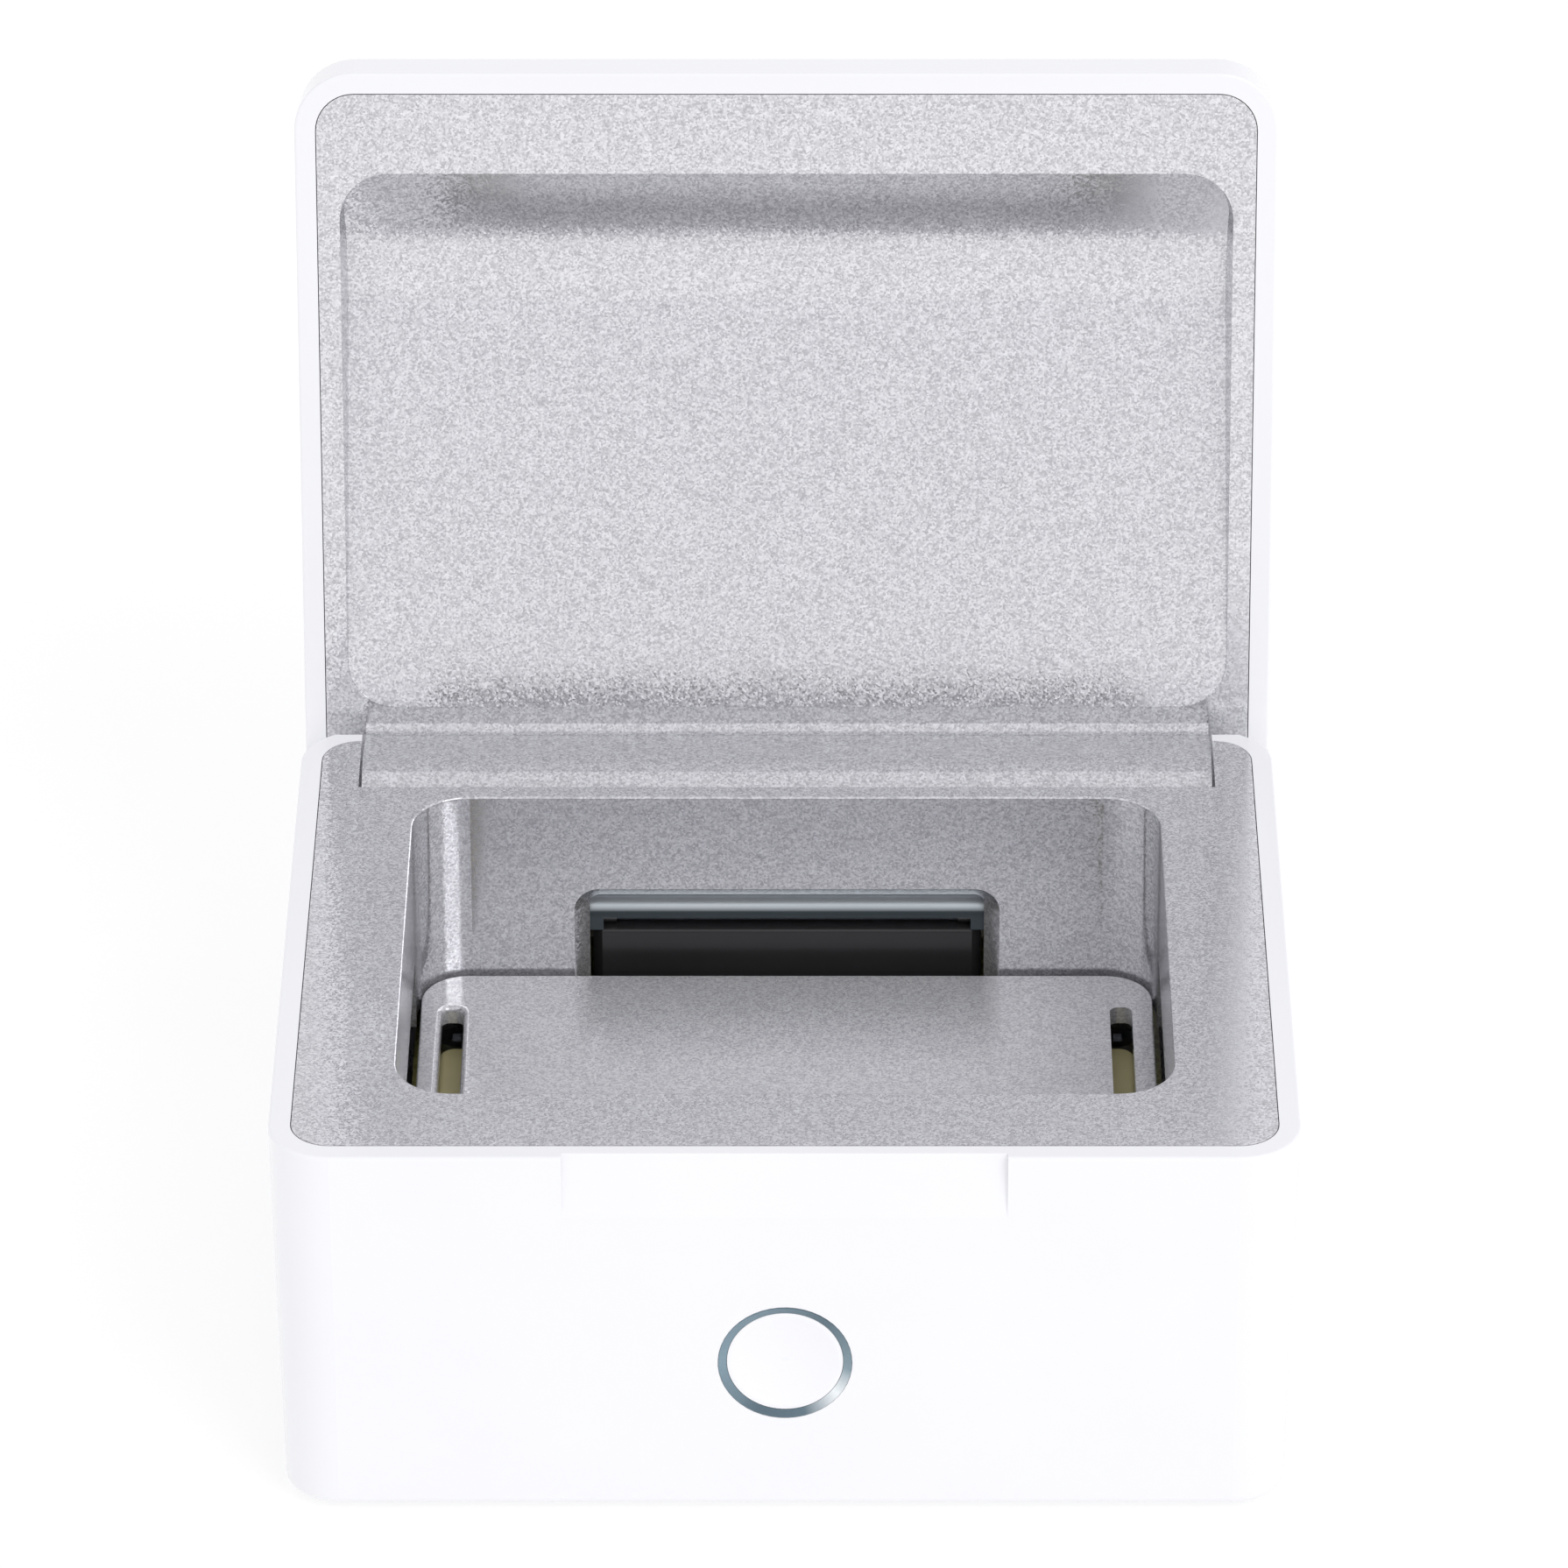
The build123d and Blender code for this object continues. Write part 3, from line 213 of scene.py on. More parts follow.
@dataclass(frozen=True)
class MouldedPlastic(Finish):
    """Injection-moulded plastic, whose skin copies the mould.

    Attributes:
        shade: The sRGB colour of its slightly duller patches.
        grain_mm: Distance between the grains of the mould's skin. Real ones are often finer, and
            are drawn as coarse as they need to be to show.
        grain_height_mm: Height of these grains.
        patch_mm: Size of the patches of gloss left by the flow of the plastic.
        gloss_spread: How much the roughness varies between patches.
    """

    shade: str = "FFFFFF"
    grain_mm: float = 0.5
    grain_height_mm: float = 0.004
    patch_mm: float = 14.0
    gloss_spread: float = 0.03

    def detail(
        self, tree: bpy.types.NodeTree, shader: bpy.types.Node, place: bpy.types.NodeSocket
    ) -> None:
        """Adds flow patches and the mould's grain.

        Args:
            tree: The material's nodes.
            shader: Its Principled shader.
            place: Object coordinates.
        """
        patches = add_node(
            tree,
            "ShaderNodeTexNoise",
            {"Vector": place, "Scale": waves_per_metre(self.patch_mm), "Detail": 3.0},
        )
        self.tone(tree, shader, patches.outputs["Fac"], self.shade)
        gloss = add_node(
            tree,
            "ShaderNodeMapRange",
            {
                "Value": patches.outputs["Fac"],
                "To Min": max(self.roughness - self.gloss_spread, LEAST_ROUGHNESS),
                "To Max": self.roughness + self.gloss_spread,
            },
        )
        tree.links.new(gloss.outputs["Result"], shader.inputs["Roughness"])
        grain = add_node(
            tree,
            "ShaderNodeTexNoise",
            {"Vector": place, "Scale": waves_per_metre(self.grain_mm), "Detail": 2.0},
        )
        skin = add_node(
            tree,
            "ShaderNodeBump",
            {
                "Height": grain.outputs["Fac"],
                "Strength": 1.0,
                "Distance": self.grain_height_mm * MM,
            },
        )
        tree.links.new(skin.outputs["Normal"], shader.inputs["Normal"])


@dataclass(frozen=True)
class FlakePaint(Finish):
    """Sprayed metallic paint: aluminium flakes in a clear binder.

    Attributes:
        dark: The sRGB colour of flakes that lie turned away.
        flake_mm: Size of a flake. Real ones are finer, and are drawn as coarse as they show.
        cloud_mm: Size of the spray's lighter and darker clouds.
        cloud_share: How much of the brightness these clouds decide, and not the flakes.
        tilt: How far flakes lean out of the surface.
    """

    dark: str = "808080"
    flake_mm: float = 0.2
    cloud_mm: float = 0.9
    cloud_share: float = 0.3
    tilt: float = 0.12

    def detail(
        self, tree: bpy.types.NodeTree, shader: bpy.types.Node, place: bpy.types.NodeSocket
    ) -> None:
        """Adds flakes that differ in brightness and lean.

        Args:
            tree: The material's nodes.
            shader: Its Principled shader.
            place: Object coordinates.
        """
        flakes = add_node(
            tree,
            "ShaderNodeTexVoronoi",
            {"Vector": place, "Scale": waves_per_metre(self.flake_mm)},
        )
        clouds = add_node(
            tree,
            "ShaderNodeTexNoise",
            {"Vector": place, "Scale": waves_per_metre(self.cloud_mm), "Detail": 3.0},
        )
        flake_tone = add_node(
            tree, "ShaderNodeSeparateColor", {"Color": flakes.outputs["Color"]}
        ).outputs["Red"]
        blend = add_node(
            tree,
            "ShaderNodeMix",
            {
                MIX_FACTOR: self.cloud_share,
                MIX_FLOAT_A: flake_tone,
                MIX_FLOAT_B: clouds.outputs["Fac"],
            },
            data_type="FLOAT",
        )
        self.tone(tree, shader, blend.outputs[0], self.dark)
        lean = add_node(
            tree,
            "ShaderNodeVectorMath",
            {0: flakes.outputs["Color"], 1: (0.5, 0.5, 0.5)},
            operation="SUBTRACT",
        )
        leaned = add_node(
            tree,
            "ShaderNodeVectorMath",
            {0: lean.outputs["Vector"], "Scale": self.tilt},
            operation="SCALE",
        )
        normal = add_node(tree, "ShaderNodeNewGeometry").outputs["Normal"]
        tilted = add_node(
            tree,
            "ShaderNodeVectorMath",
            {0: normal, 1: leaned.outputs["Vector"]},
            operation="ADD",
        )
        facing = add_node(
            tree, "ShaderNodeVectorMath", {0: tilted.outputs["Vector"]}, operation="NORMALIZE"
        )
        tree.links.new(facing.outputs["Vector"], shader.inputs["Normal"])


@dataclass(frozen=True)
class WorkedMetal(Finish):
    """Bare or plated metal with the fine marks of its making.

    Attributes:
        tarnish: The sRGB colour of its duller parts.
        mark_mm: Distance between the marks of turning, drawing or polishing.
        stretch: How many times longer than wide the marks are, along X.
        mark_height_mm: Depth of the marks.
        smoothest: Roughness between the marks, as a share of the finish's own.
        dullest: Roughness in the marks, as a share of the finish's own.
    """

    tarnish: str = "707070"
    mark_mm: float = 0.3
    stretch: float = 1.0
    mark_height_mm: float = 0.002
    smoothest: float = 0.7
    dullest: float = 1.4

    def detail(
        self, tree: bpy.types.NodeTree, shader: bpy.types.Node, place: bpy.types.NodeSocket
    ) -> None:
        """Adds marks that dull the gloss and the colour a little.

        Args:
            tree: The material's nodes.
            shader: Its Principled shader.
            place: Object coordinates.
        """
        along = add_node(
            tree, "ShaderNodeMapping", {"Vector": place, "Scale": (1 / self.stretch, 1.0, 1.0)}
        )
        marks = add_node(
            tree,
            "ShaderNodeTexNoise",
            {
                "Vector": along.outputs["Vector"],
                "Scale": waves_per_metre(self.mark_mm),
                "Detail": 4.0,
            },
        )
        self.tone(tree, shader, marks.outputs["Fac"], self.tarnish)
        dull = add_node(
            tree,
            "ShaderNodeMapRange",
            {
                "Value": marks.outputs["Fac"],
                "To Min": self.roughness * self.smoothest,
                "To Max": self.roughness * self.dullest,
            },
        )
        tree.links.new(dull.outputs["Result"], shader.inputs["Roughness"])
        relief = add_node(
            tree,
            "ShaderNodeBump",
            {
                "Height": marks.outputs["Fac"],
                "Strength": 1.0,
                "Distance": self.mark_height_mm * MM,
            },
        )
        tree.links.new(relief.outputs["Normal"], shader.inputs["Normal"])


@dataclass(frozen=True)
class TurnedMetal(WorkedMetal):
    """Metal turned on a lathe about an axis along Y, with its rings' fans of light painted in.

    Attributes:
        axis_mm: Height of the axis.
        painted_light_fans: Each painted fan's place round the axis, from 0 at the left through the
            bottom, and its sRGB colour: painted highlights and painted shade, drawn fixed where soft
            light from the front puts them.
    """

    axis_mm: float = 0.0
    painted_light_fans: tuple[tuple[float, str], ...] = ()

    def detail(
        self, tree: bpy.types.NodeTree, shader: bpy.types.Node, place: bpy.types.NodeSocket
    ) -> None:
        """Adds the marks, then the painted fans of light over them.

        Args:
            tree: The material's nodes.
            shader: Its Principled shader.
            place: Object coordinates.
        """
        super().detail(tree, shader, place)
        marks = shader.inputs["Base Color"].links[0].from_socket
        facing = add_node(
            tree,
            "ShaderNodeMapping",
            {
                "Vector": place,
                "Location": (0.0, -self.axis_mm * MM, 0.0),
                "Rotation": (-math.pi / 2, 0.0, 0.0),
            },
        )
        angle = add_node(
            tree,
            "ShaderNodeTexGradient",
            {"Vector": facing.outputs["Vector"]},
            gradient_type="RADIAL",
        )
        # painted highlights and painted shade: the colour changes with the angle round the axis
        ramp = add_node(tree, "ShaderNodeValToRGB", {"Fac": angle.outputs["Fac"]})
        stops = ramp.color_ramp.elements
        while len(stops) < len(self.painted_light_fans):
            stops.new(1.0)
        for stop, (at, colour) in zip(stops, self.painted_light_fans):
            stop.position = at
            stop.color = linear(colour)
        mix = add_node(
            tree,
            "ShaderNodeMix",
            {MIX_FACTOR: 1.0, MIX_COLOUR_A: ramp.outputs["Color"], MIX_COLOUR_B: marks},
            data_type="RGBA",
            blend_type="MULTIPLY",
        )
        tree.links.new(mix.outputs[MIX_COLOUR_OUT], shader.inputs["Base Color"])


@dataclass(frozen=True)
class PaintedHighlightMetal(WorkedMetal):
    """Worked metal with a painted highlight: its colour turns lighter with height.

    Attributes:
        low: The sRGB colour below the painted highlight.
        highlight_from_mm: Height up to which that darker colour holds.
        highlight_to_mm: Height from which the painted highlight is full.
    """

    low: str = "606060"
    highlight_from_mm: float = 0.0
    highlight_to_mm: float = 1.0

    def detail(
        self, tree: bpy.types.NodeTree, shader: bpy.types.Node, place: bpy.types.NodeSocket
    ) -> None:
        """Adds the marks, then the painted highlight over them.

        Args:
            tree: The material's nodes.
            shader: Its Principled shader.
            place: Object coordinates.
        """
        super().detail(tree, shader, place)
        # painted highlight: this near-white marked colour shows only at the top of the round
        highlight_colour = shader.inputs["Base Color"].links[0].from_socket
        height = add_node(tree, "ShaderNodeSeparateXYZ", {"Vector": place}).outputs["Z"]
        fade = add_node(
            tree,
            "ShaderNodeMapRange",
            {
                "Value": height,
                "From Min": self.highlight_from_mm * MM,
                "From Max": self.highlight_to_mm * MM,
            },
        )
        mix = add_node(
            tree,
            "ShaderNodeMix",
            {
                MIX_FACTOR: fade.outputs["Result"],
                MIX_COLOUR_A: linear(self.low),
                MIX_COLOUR_B: highlight_colour,
            },
            data_type="RGBA",
        )
        tree.links.new(mix.outputs[MIX_COLOUR_OUT], shader.inputs["Base Color"])


@dataclass(frozen=True)
class BoardLaminate(Finish):
    """Glass-fibre circuit board under solder mask, with tracks that show through.

    Attributes:
        track: The sRGB colour over copper.
        track_mm: Distance between tracks.
        disorder: How far the tracks leave a square grid, from 0 to 1.
        core: Half the width of a track's full colour, as a share of track_mm.
        edge: Where its colour ends, likewise.
        track_height_mm: How far a track stands up under the mask.
        softness: How much of that height the mask lets show.
    """

    track: str = "5A6230"
    track_mm: float = 1.6
    disorder: float = 0.75
    core: float = 0.06
    edge: float = 0.12
    track_height_mm: float = 0.03
    softness: float = 0.6

    def detail(
        self, tree: bpy.types.NodeTree, shader: bpy.types.Node, place: bpy.types.NodeSocket
    ) -> None:
        """Adds tracks as the edges of a mosaic.

        Args:
            tree: The material's nodes.
            shader: Its Principled shader.
            place: Object coordinates.
        """
        mosaic = add_node(
            tree,
            "ShaderNodeTexVoronoi",
            {
                "Vector": place,
                "Scale": waves_per_metre(self.track_mm),
                "Randomness": self.disorder,
            },
            feature="DISTANCE_TO_EDGE",
            distance="EUCLIDEAN",
        )
        track = add_node(
            tree,
            "ShaderNodeMapRange",
            {
                "Value": mosaic.outputs["Distance"],
                "From Min": self.core,
                "From Max": self.edge,
            },
        )
        bare = add_node(
            tree, "ShaderNodeMath", {0: 1.0, 1: track.outputs["Result"]}, operation="SUBTRACT"
        )
        self.tone(tree, shader, bare.outputs["Value"], self.track)
        relief = add_node(
            tree,
            "ShaderNodeBump",
            {
                "Height": bare.outputs["Value"],
                "Strength": self.softness,
                "Distance": self.track_height_mm * MM,
            },
        )
        tree.links.new(relief.outputs["Normal"], shader.inputs["Normal"])


@dataclass(frozen=True)
class ClearGlass(Finish):
    """Drawn quartz tube.

    Attributes:
        clearness: How much light it lets through.
        wave_mm: Distance between the faint waves of its surface.
        wave_height_mm: Their height.
        softness: How much of that height shows.
    """

    clearness: float = 0.92
    wave_mm: float = 2.0
    wave_height_mm: float = 0.02
    softness: float = 0.3

    def detail(
        self, tree: bpy.types.NodeTree, shader: bpy.types.Node, place: bpy.types.NodeSocket
    ) -> None:
        """Makes it clear, with faint waves.

        Args:
            tree: The material's nodes.
            shader: Its Principled shader.
            place: Object coordinates.
        """
        shader.inputs["Transmission Weight"].default_value = self.clearness
        waves = add_node(
            tree,
            "ShaderNodeTexNoise",
            {"Vector": place, "Scale": waves_per_metre(self.wave_mm), "Detail": 1.0},
        )
        relief = add_node(
            tree,
            "ShaderNodeBump",
            {
                "Height": waves.outputs["Fac"],
                "Strength": self.softness,
                "Distance": self.wave_height_mm * MM,
            },
        )
        tree.links.new(relief.outputs["Normal"], shader.inputs["Normal"])


class Finishes(Enum):
    """Every finish on the dryer."""

    # high-gloss ABS: a bright white with mirror-like edges
    CASE = MouldedPlastic(
        "high_gloss_white_abs", "F3F3F5", 0.16, ior=1.53, shade="F0F0F3", grain_mm=1.6,
        grain_height_mm=0.002, coat=0.35, coat_roughness=0.06,
    )
    # spark-eroded mould: an even, dull white
    BASE_PLATE = MouldedPlastic(
        "spark_grained_white_abs", "DEE0E3", 0.55, shade="D6D8DC", grain_mm=0.35,
        grain_height_mm=0.03,
    )
    # polished mould: the button is a shade cooler than the case
    BUTTON = MouldedPlastic(
        "polished_white_abs", "F4F4F6", 0.12, ior=1.53, shade="F1F1F4", grain_mm=2.0,
        grain_height_mm=0.001, coat=0.5, coat_roughness=0.04,
    )
    # aluminium flakes in lacquer over ABS: a sparkling grey that mirrors softly
    DECK = FlakePaint(
        "silver_flake_paint", "F3F3F6", 0.11, metallic=0.72, dark="A9A8AC", tilt=0.04,
    )
    # the same paint with more binder over the flakes: paler, and it mirrors less
    TRAY = FlakePaint(
        "silver_flake_paint_on_tray", "F2F2F5", 0.17, metallic=0.4, dark="B6B5B9", tilt=0.05,
    )
    # chrome on brass: darker and bluer than its surroundings, with painted highlights and painted
    # shade round the ring
    RING = TurnedMetal(
        "turned_chrome_plate", "FFFFFF", 0.14, 1.0, tarnish="F0F2F3", mark_mm=0.4, axis_mm=18.8,
        # painted light round the ring: lighter at the left, a painted highlight low on the right,
        # painted shade low on the left and high on the right
        painted_light_fans=(
            (0.0, "8DA2AE"), (0.18, "6A7C86"), (0.3, "71848E"), (0.4, "F6FAFC"), (0.48, "8FA1AA"),
            (0.64, "667883"), (0.8, "7E929D"), (1.0, "8DA2AE"),
        ),
    )
    # zinc-plated steel: a pale shine with a bluish cast
    SCREW = WorkedMetal("zinc_plated_steel", "B9BCC2", 0.34, 1.0, tarnish="94979C", mark_mm=0.25)
    # centreless-ground steel: fine rings
    PIN = WorkedMetal("ground_steel", "C4C6CA", 0.24, 1.0, tarnish="A6A8AC", mark_mm=0.2)
    # nickel-plated neodymium: a warm shine
    MAGNET = WorkedMetal("nickel_plate", "BDBBB4", 0.22, 1.0, tarnish="A09D94", mark_mm=0.5)
    # bead-blasted aluminium plate: an even, pale grey without mirroring
    HEATER = WorkedMetal("bare_aluminium", "CFCFCB", 0.42, 1.0, tarnish="A9A8A2", mark_mm=0.35)
    # satin aluminium reflector, anodised dark, with a painted highlight that makes the top of its
    # round lighter
    HOOD = PaintedHighlightMetal(
        "dark_satin_reflector", "F6FCFF", 0.35, 0.6, tarnish="E0ECF2", mark_mm=0.5, stretch=30.0,
        mark_height_mm=0.0015, low="464F53", highlight_from_mm=28.3, highlight_to_mm=29.1,
    )
    # drawn aluminium: soft grey highlights
    LAMP_CAP = WorkedMetal(
        "drawn_aluminium_cap", "C6C6C6", 0.3, 1.0, tarnish="A0A0A0", mark_mm=0.3
    )
    # enamelled copper wire: reddish brown with a clear shine
    COPPER = WorkedMetal("enamelled_copper", "C0703A", 0.28, 1.0, tarnish="9A5428", mark_mm=0.15)
    # glass-filled nylon: black with a dull sheen
    BLACK = MouldedPlastic(
        "black_nylon", "202021", 0.38, shade="29292A", grain_mm=0.45, grain_height_mm=0.01
    )
    # moulded polycarbonate: black, with the silver round it mirrored faintly
    LAMP_BOX = MouldedPlastic(
        "black_gloss_polycarbonate", "2A292A", 0.26, shade="313031", grain_mm=1.2,
        grain_height_mm=0.003,
    )
    # heat-resistant phenolic: khaki with fibres, its colour painted much paler than its own khaki to
    # stand in for light that the case shuts out
    DUCT = MouldedPlastic(
        "khaki_phenolic", "E6DDAA", 0.46, shade="D6CC98", grain_mm=0.4, grain_height_mm=0.02,
        patch_mm=2.5,
    )
    # pressed insulating board: a dull, slightly mottled cream, painted paler than its own to stand in
    # for light that the case shuts out
    BRACKET = MouldedPlastic(
        "beige_insulating_board", "F4ECD4", 0.6, shade="EAE0C6", grain_mm=0.3,
        grain_height_mm=0.02, patch_mm=1.8,
    )
    # thermoplastic rubber: matt, with a fine bloom
    RUBBER = MouldedPlastic(
        "matt_grey_rubber", "B4B6B9", 0.78, shade="A5A7AA", grain_mm=0.3, grain_height_mm=0.03,
        patch_mm=3.0,
    )
    # glass-fibre laminate under solder mask: olive, with lighter lines over the copper; mask and
    # lines are painted lighter than their own to stand in for light that the case shuts out
    BOARD = BoardLaminate("olive_solder_mask", "787446", 0.36, track="8E8A58")
    # transfer-moulded epoxy: a dry, fine-grained black
    CHIP = MouldedPlastic(
        "black_epoxy", "1B1B1C", 0.5, shade="242425", grain_mm=0.2, grain_height_mm=0.006,
        patch_mm=1.0,
    )
    # drawn aluminium cans: bluish grey with a soft shine
    CAN = WorkedMetal("sleeved_aluminium_can", "AEB2B8", 0.3, 1.0, tarnish="8E9298", mark_mm=0.3)
    # fired ceramic: a dark brownish grey, mottled and half dull
    RESISTOR = MouldedPlastic(
        "fired_ceramic_body", "3A3734", 0.4, shade="4A4642", grain_mm=0.15, grain_height_mm=0.004,
        patch_mm=0.8,
    )
    # tinned copper: bright, with dull spots
    SOLDER = WorkedMetal("tinned_copper", "C9CBCE", 0.26, 1.0, tarnish="A3A5A8", mark_mm=0.12)
    # fused quartz: clear and faintly blue, with soft waves
    QUARTZ = ClearGlass("clear_quartz", "E6EDF6", 0.03, ior=1.46)


# ---------------------------------------------------------------- pieces


def dress(finish: Finishes, *nodes: str) -> None:
    """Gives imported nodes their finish.

    Args:
        finish: The finish.
        *nodes: The nodes' names.
    """
    for name in nodes:
        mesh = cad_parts[name].data
        mesh.materials.clear()
        mesh.materials.append(finish.value.material())
        log.info("%s: %s", name, finish.value.name)


def middle(node: str) -> Vector:
    """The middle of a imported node's box."""
    low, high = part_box(node)
    return (low + high) / 2


class RepeatTree:
    """A Geometry Nodes tree with named inputs for its sizes.

    Attributes:
        tree: The tree.
        values: Each input's name and value.
        sockets: Each input's name and the identifier of its socket.
        start: The tree's input node.
    """

    def __init__(self, name: str, sizes: dict[str, float]) -> None:
        """Makes the tree and its inputs.

        Args:
            name: The tree's name.
            sizes: Each input's name and value; a whole number makes a counter.
        """
        self.tree = bpy.data.node_groups.new(name, "GeometryNodeTree")
        self.values = sizes
        self.sockets: dict[str, str] = {}
        for label, size in sizes.items():
            kind = "NodeSocketInt" if isinstance(size, int) else "NodeSocketFloat"
            socket = self.tree.interface.new_socket(label, in_out="INPUT", socket_type=kind)
            self.sockets[label] = socket.identifier
        self.tree.interface.new_socket(
            "Geometry", in_out="OUTPUT", socket_type="NodeSocketGeometry"
        )
        self.start = add_node(self.tree, "NodeGroupInput")

    def size(self, label: str) -> bpy.types.NodeSocket:
        """The output that gives a named input."""
        return self.start.outputs[label]

    def add(self, kind: str, inputs: dict[Any, Any], **settings: Any) -> bpy.types.NodeSocket:
        """The first output of a new node. See add_node."""
        return add_node(self.tree, kind, inputs, **settings).outputs[0]

    def vector(self, x: Any, y: Any, z: Any) -> bpy.types.NodeSocket:
        """A vector made from three sockets or values."""
        return self.add("ShaderNodeCombineXYZ", {0: x, 1: y, 2: z})

    def times(self, value: bpy.types.NodeSocket, factor: float) -> bpy.types.NodeSocket:
        """A value multiplied by a factor."""
        return self.add("ShaderNodeMath", {0: value, 1: factor}, operation="MULTIPLY")

    def moved(
        self, shape: bpy.types.NodeSocket, shift: Any, half_turn: bool = False
    ) -> bpy.types.NodeSocket:
        """Turns a shape half round Z if so asked, and then shifts it.

        Args:
            shape: The shape.
            shift: The way it goes.
            half_turn: Whether it turns first.

        Returns:
            The shape in its new place.
        """
        turn = (0.0, 0.0, math.pi if half_turn else 0.0)
        return self.add(
            "GeometryNodeTransform", {"Geometry": shape, "Translation": shift, "Rotation": turn}
        )

    def with_its_twin(self, shape: bpy.types.NodeSocket) -> bpy.types.NodeSocket:
        """A shape together with its copy turned half round Z."""
        return self.joined(shape, self.moved(shape, NO_SHIFT, half_turn=True))

    def joined(self, *shapes: bpy.types.NodeSocket) -> bpy.types.NodeSocket:
        """Makes several shapes one.

        Args:
            *shapes: The shapes.

        Returns:
            All of them as one.
        """
        join = add_node(self.tree, "GeometryNodeJoinGeometry")
        for shape in shapes:
            self.tree.links.new(shape, join.inputs[0])
        return join.outputs[0]

    def row(
        self, shape: bpy.types.NodeSocket, count: str, start: Any, step: Any
    ) -> bpy.types.NodeSocket:
        """Repeats a shape in a straight row.

        Args:
            shape: The shape.
            count: The input that says how many.
            start: The first one's place.
            step: From one to the next.

        Returns:
            The instances.
        """
        points = self.add(
            "GeometryNodeMeshLine",
            {"Count": self.size(count), "Start Location": start, "Offset": step},
        )
        return self.add("GeometryNodeInstanceOnPoints", {"Points": points, "Instance": shape})

    def piece(
        self, name: str, body: str, shape: bpy.types.NodeSocket, finish: Finishes
    ) -> bpy.types.Object:
        """Ends the tree, bakes it to a plain mesh and lets that ride on a body.

        Args:
            name: The piece's name.
            body: The body that it rides on.
            shape: The geometry before its instances are realised.
            finish: Its finish.

        Returns:
            The piece.
        """
        real = self.add("GeometryNodeRealizeInstances", {"Geometry": shape})
        painted = self.add(
            "GeometryNodeSetMaterial", {"Geometry": real, "Material": finish.value.material()}
        )
        add_node(self.tree, "NodeGroupOutput", {0: painted})
        maker = bpy.data.objects.new(name + "_maker", bpy.data.meshes.new(name + "_maker"))
        bpy.context.scene.collection.objects.link(maker)
        modifier = maker.modifiers.new("repeat", "NODES")
        modifier.node_group = self.tree
        for label, identifier in self.sockets.items():
            modifier[identifier] = self.values[label]
        graph = bpy.context.evaluated_depsgraph_get()
        mesh = bpy.data.meshes.new_from_object(maker.evaluated_get(graph), depsgraph=graph)
        maker.modifiers.remove(modifier)
        bpy.data.objects.remove(maker)
        mesh.name = name
        return add_piece(name, mesh, body)


def add_piece(name: str, mesh: bpy.types.Mesh, body: str) -> bpy.types.Object:
    """Puts a finished mesh in the scene and lets it ride on a body.

    Args:
        name: The piece's name.
        mesh: Its mesh, already in its place and with its material.
        body: The body that it rides on.

    Returns:
        The piece.
    """
    made = bpy.data.objects.new(name, mesh)
    bpy.context.scene.collection.objects.link(made)
    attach(made, body)
    log.info("%s: %d faces on %s", name, len(mesh.polygons), body)
    return made


@dataclass
class Case:
    """The white case, its bottom and what holds it together."""

    def dress(self) -> None:
        """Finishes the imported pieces."""
        dress(Finishes.CASE, "base_shell")
        dress(Finishes.BASE_PLATE, "base_plate")
        dress(Finishes.RUBBER, "foot_strip")
        dress(Finishes.SCREW, "base_screws")


@dataclass
class Chamber:
    """The silver deck with its drying chamber, and the tray."""

    def dress(self) -> None:
        """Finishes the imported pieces."""
        dress(Finishes.DECK, "deck_panel")
        dress(Finishes.TRAY, "tray")
        dress(Finishes.MAGNET, "deck_magnets")


@dataclass
class Lid:
    """The lid, its silver lining and its hinge."""

    def dress(self) -> None:
        """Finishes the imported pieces."""
        dress(Finishes.CASE, "lid_shell")
        dress(Finishes.DECK, "lid_liner")
        dress(Finishes.MAGNET, "lid_magnets")
        dress(Finishes.PIN, "hinge_pins")


@dataclass
class PushButton:
    """The push button, its ring and its switch."""

    def dress(self) -> None:
        """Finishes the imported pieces."""
        dress(Finishes.BUTTON, "button_cap")
        dress(Finishes.RING, "button_ring")
        dress(Finishes.BLACK, "switch_plunger", "tact_switch")
        dress(Finishes.BOARD, "switch_board")
        dress(Finishes.SCREW, "switch_board_screws")


@dataclass
class Blower:
    """The fan, the heater above it and the duct that covers them."""

    def dress(self) -> None:
        """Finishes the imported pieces."""
        dress(Finishes.BLACK, "fan_frame", "fan_rotor")
        dress(Finishes.COPPER, "fan_stator")
        dress(Finishes.PIN, "fan_shaft")
        dress(Finishes.SCREW, "fan_screws")
        dress(Finishes.DUCT, "air_duct")
        dress(Finishes.HEATER, "heater_plate")


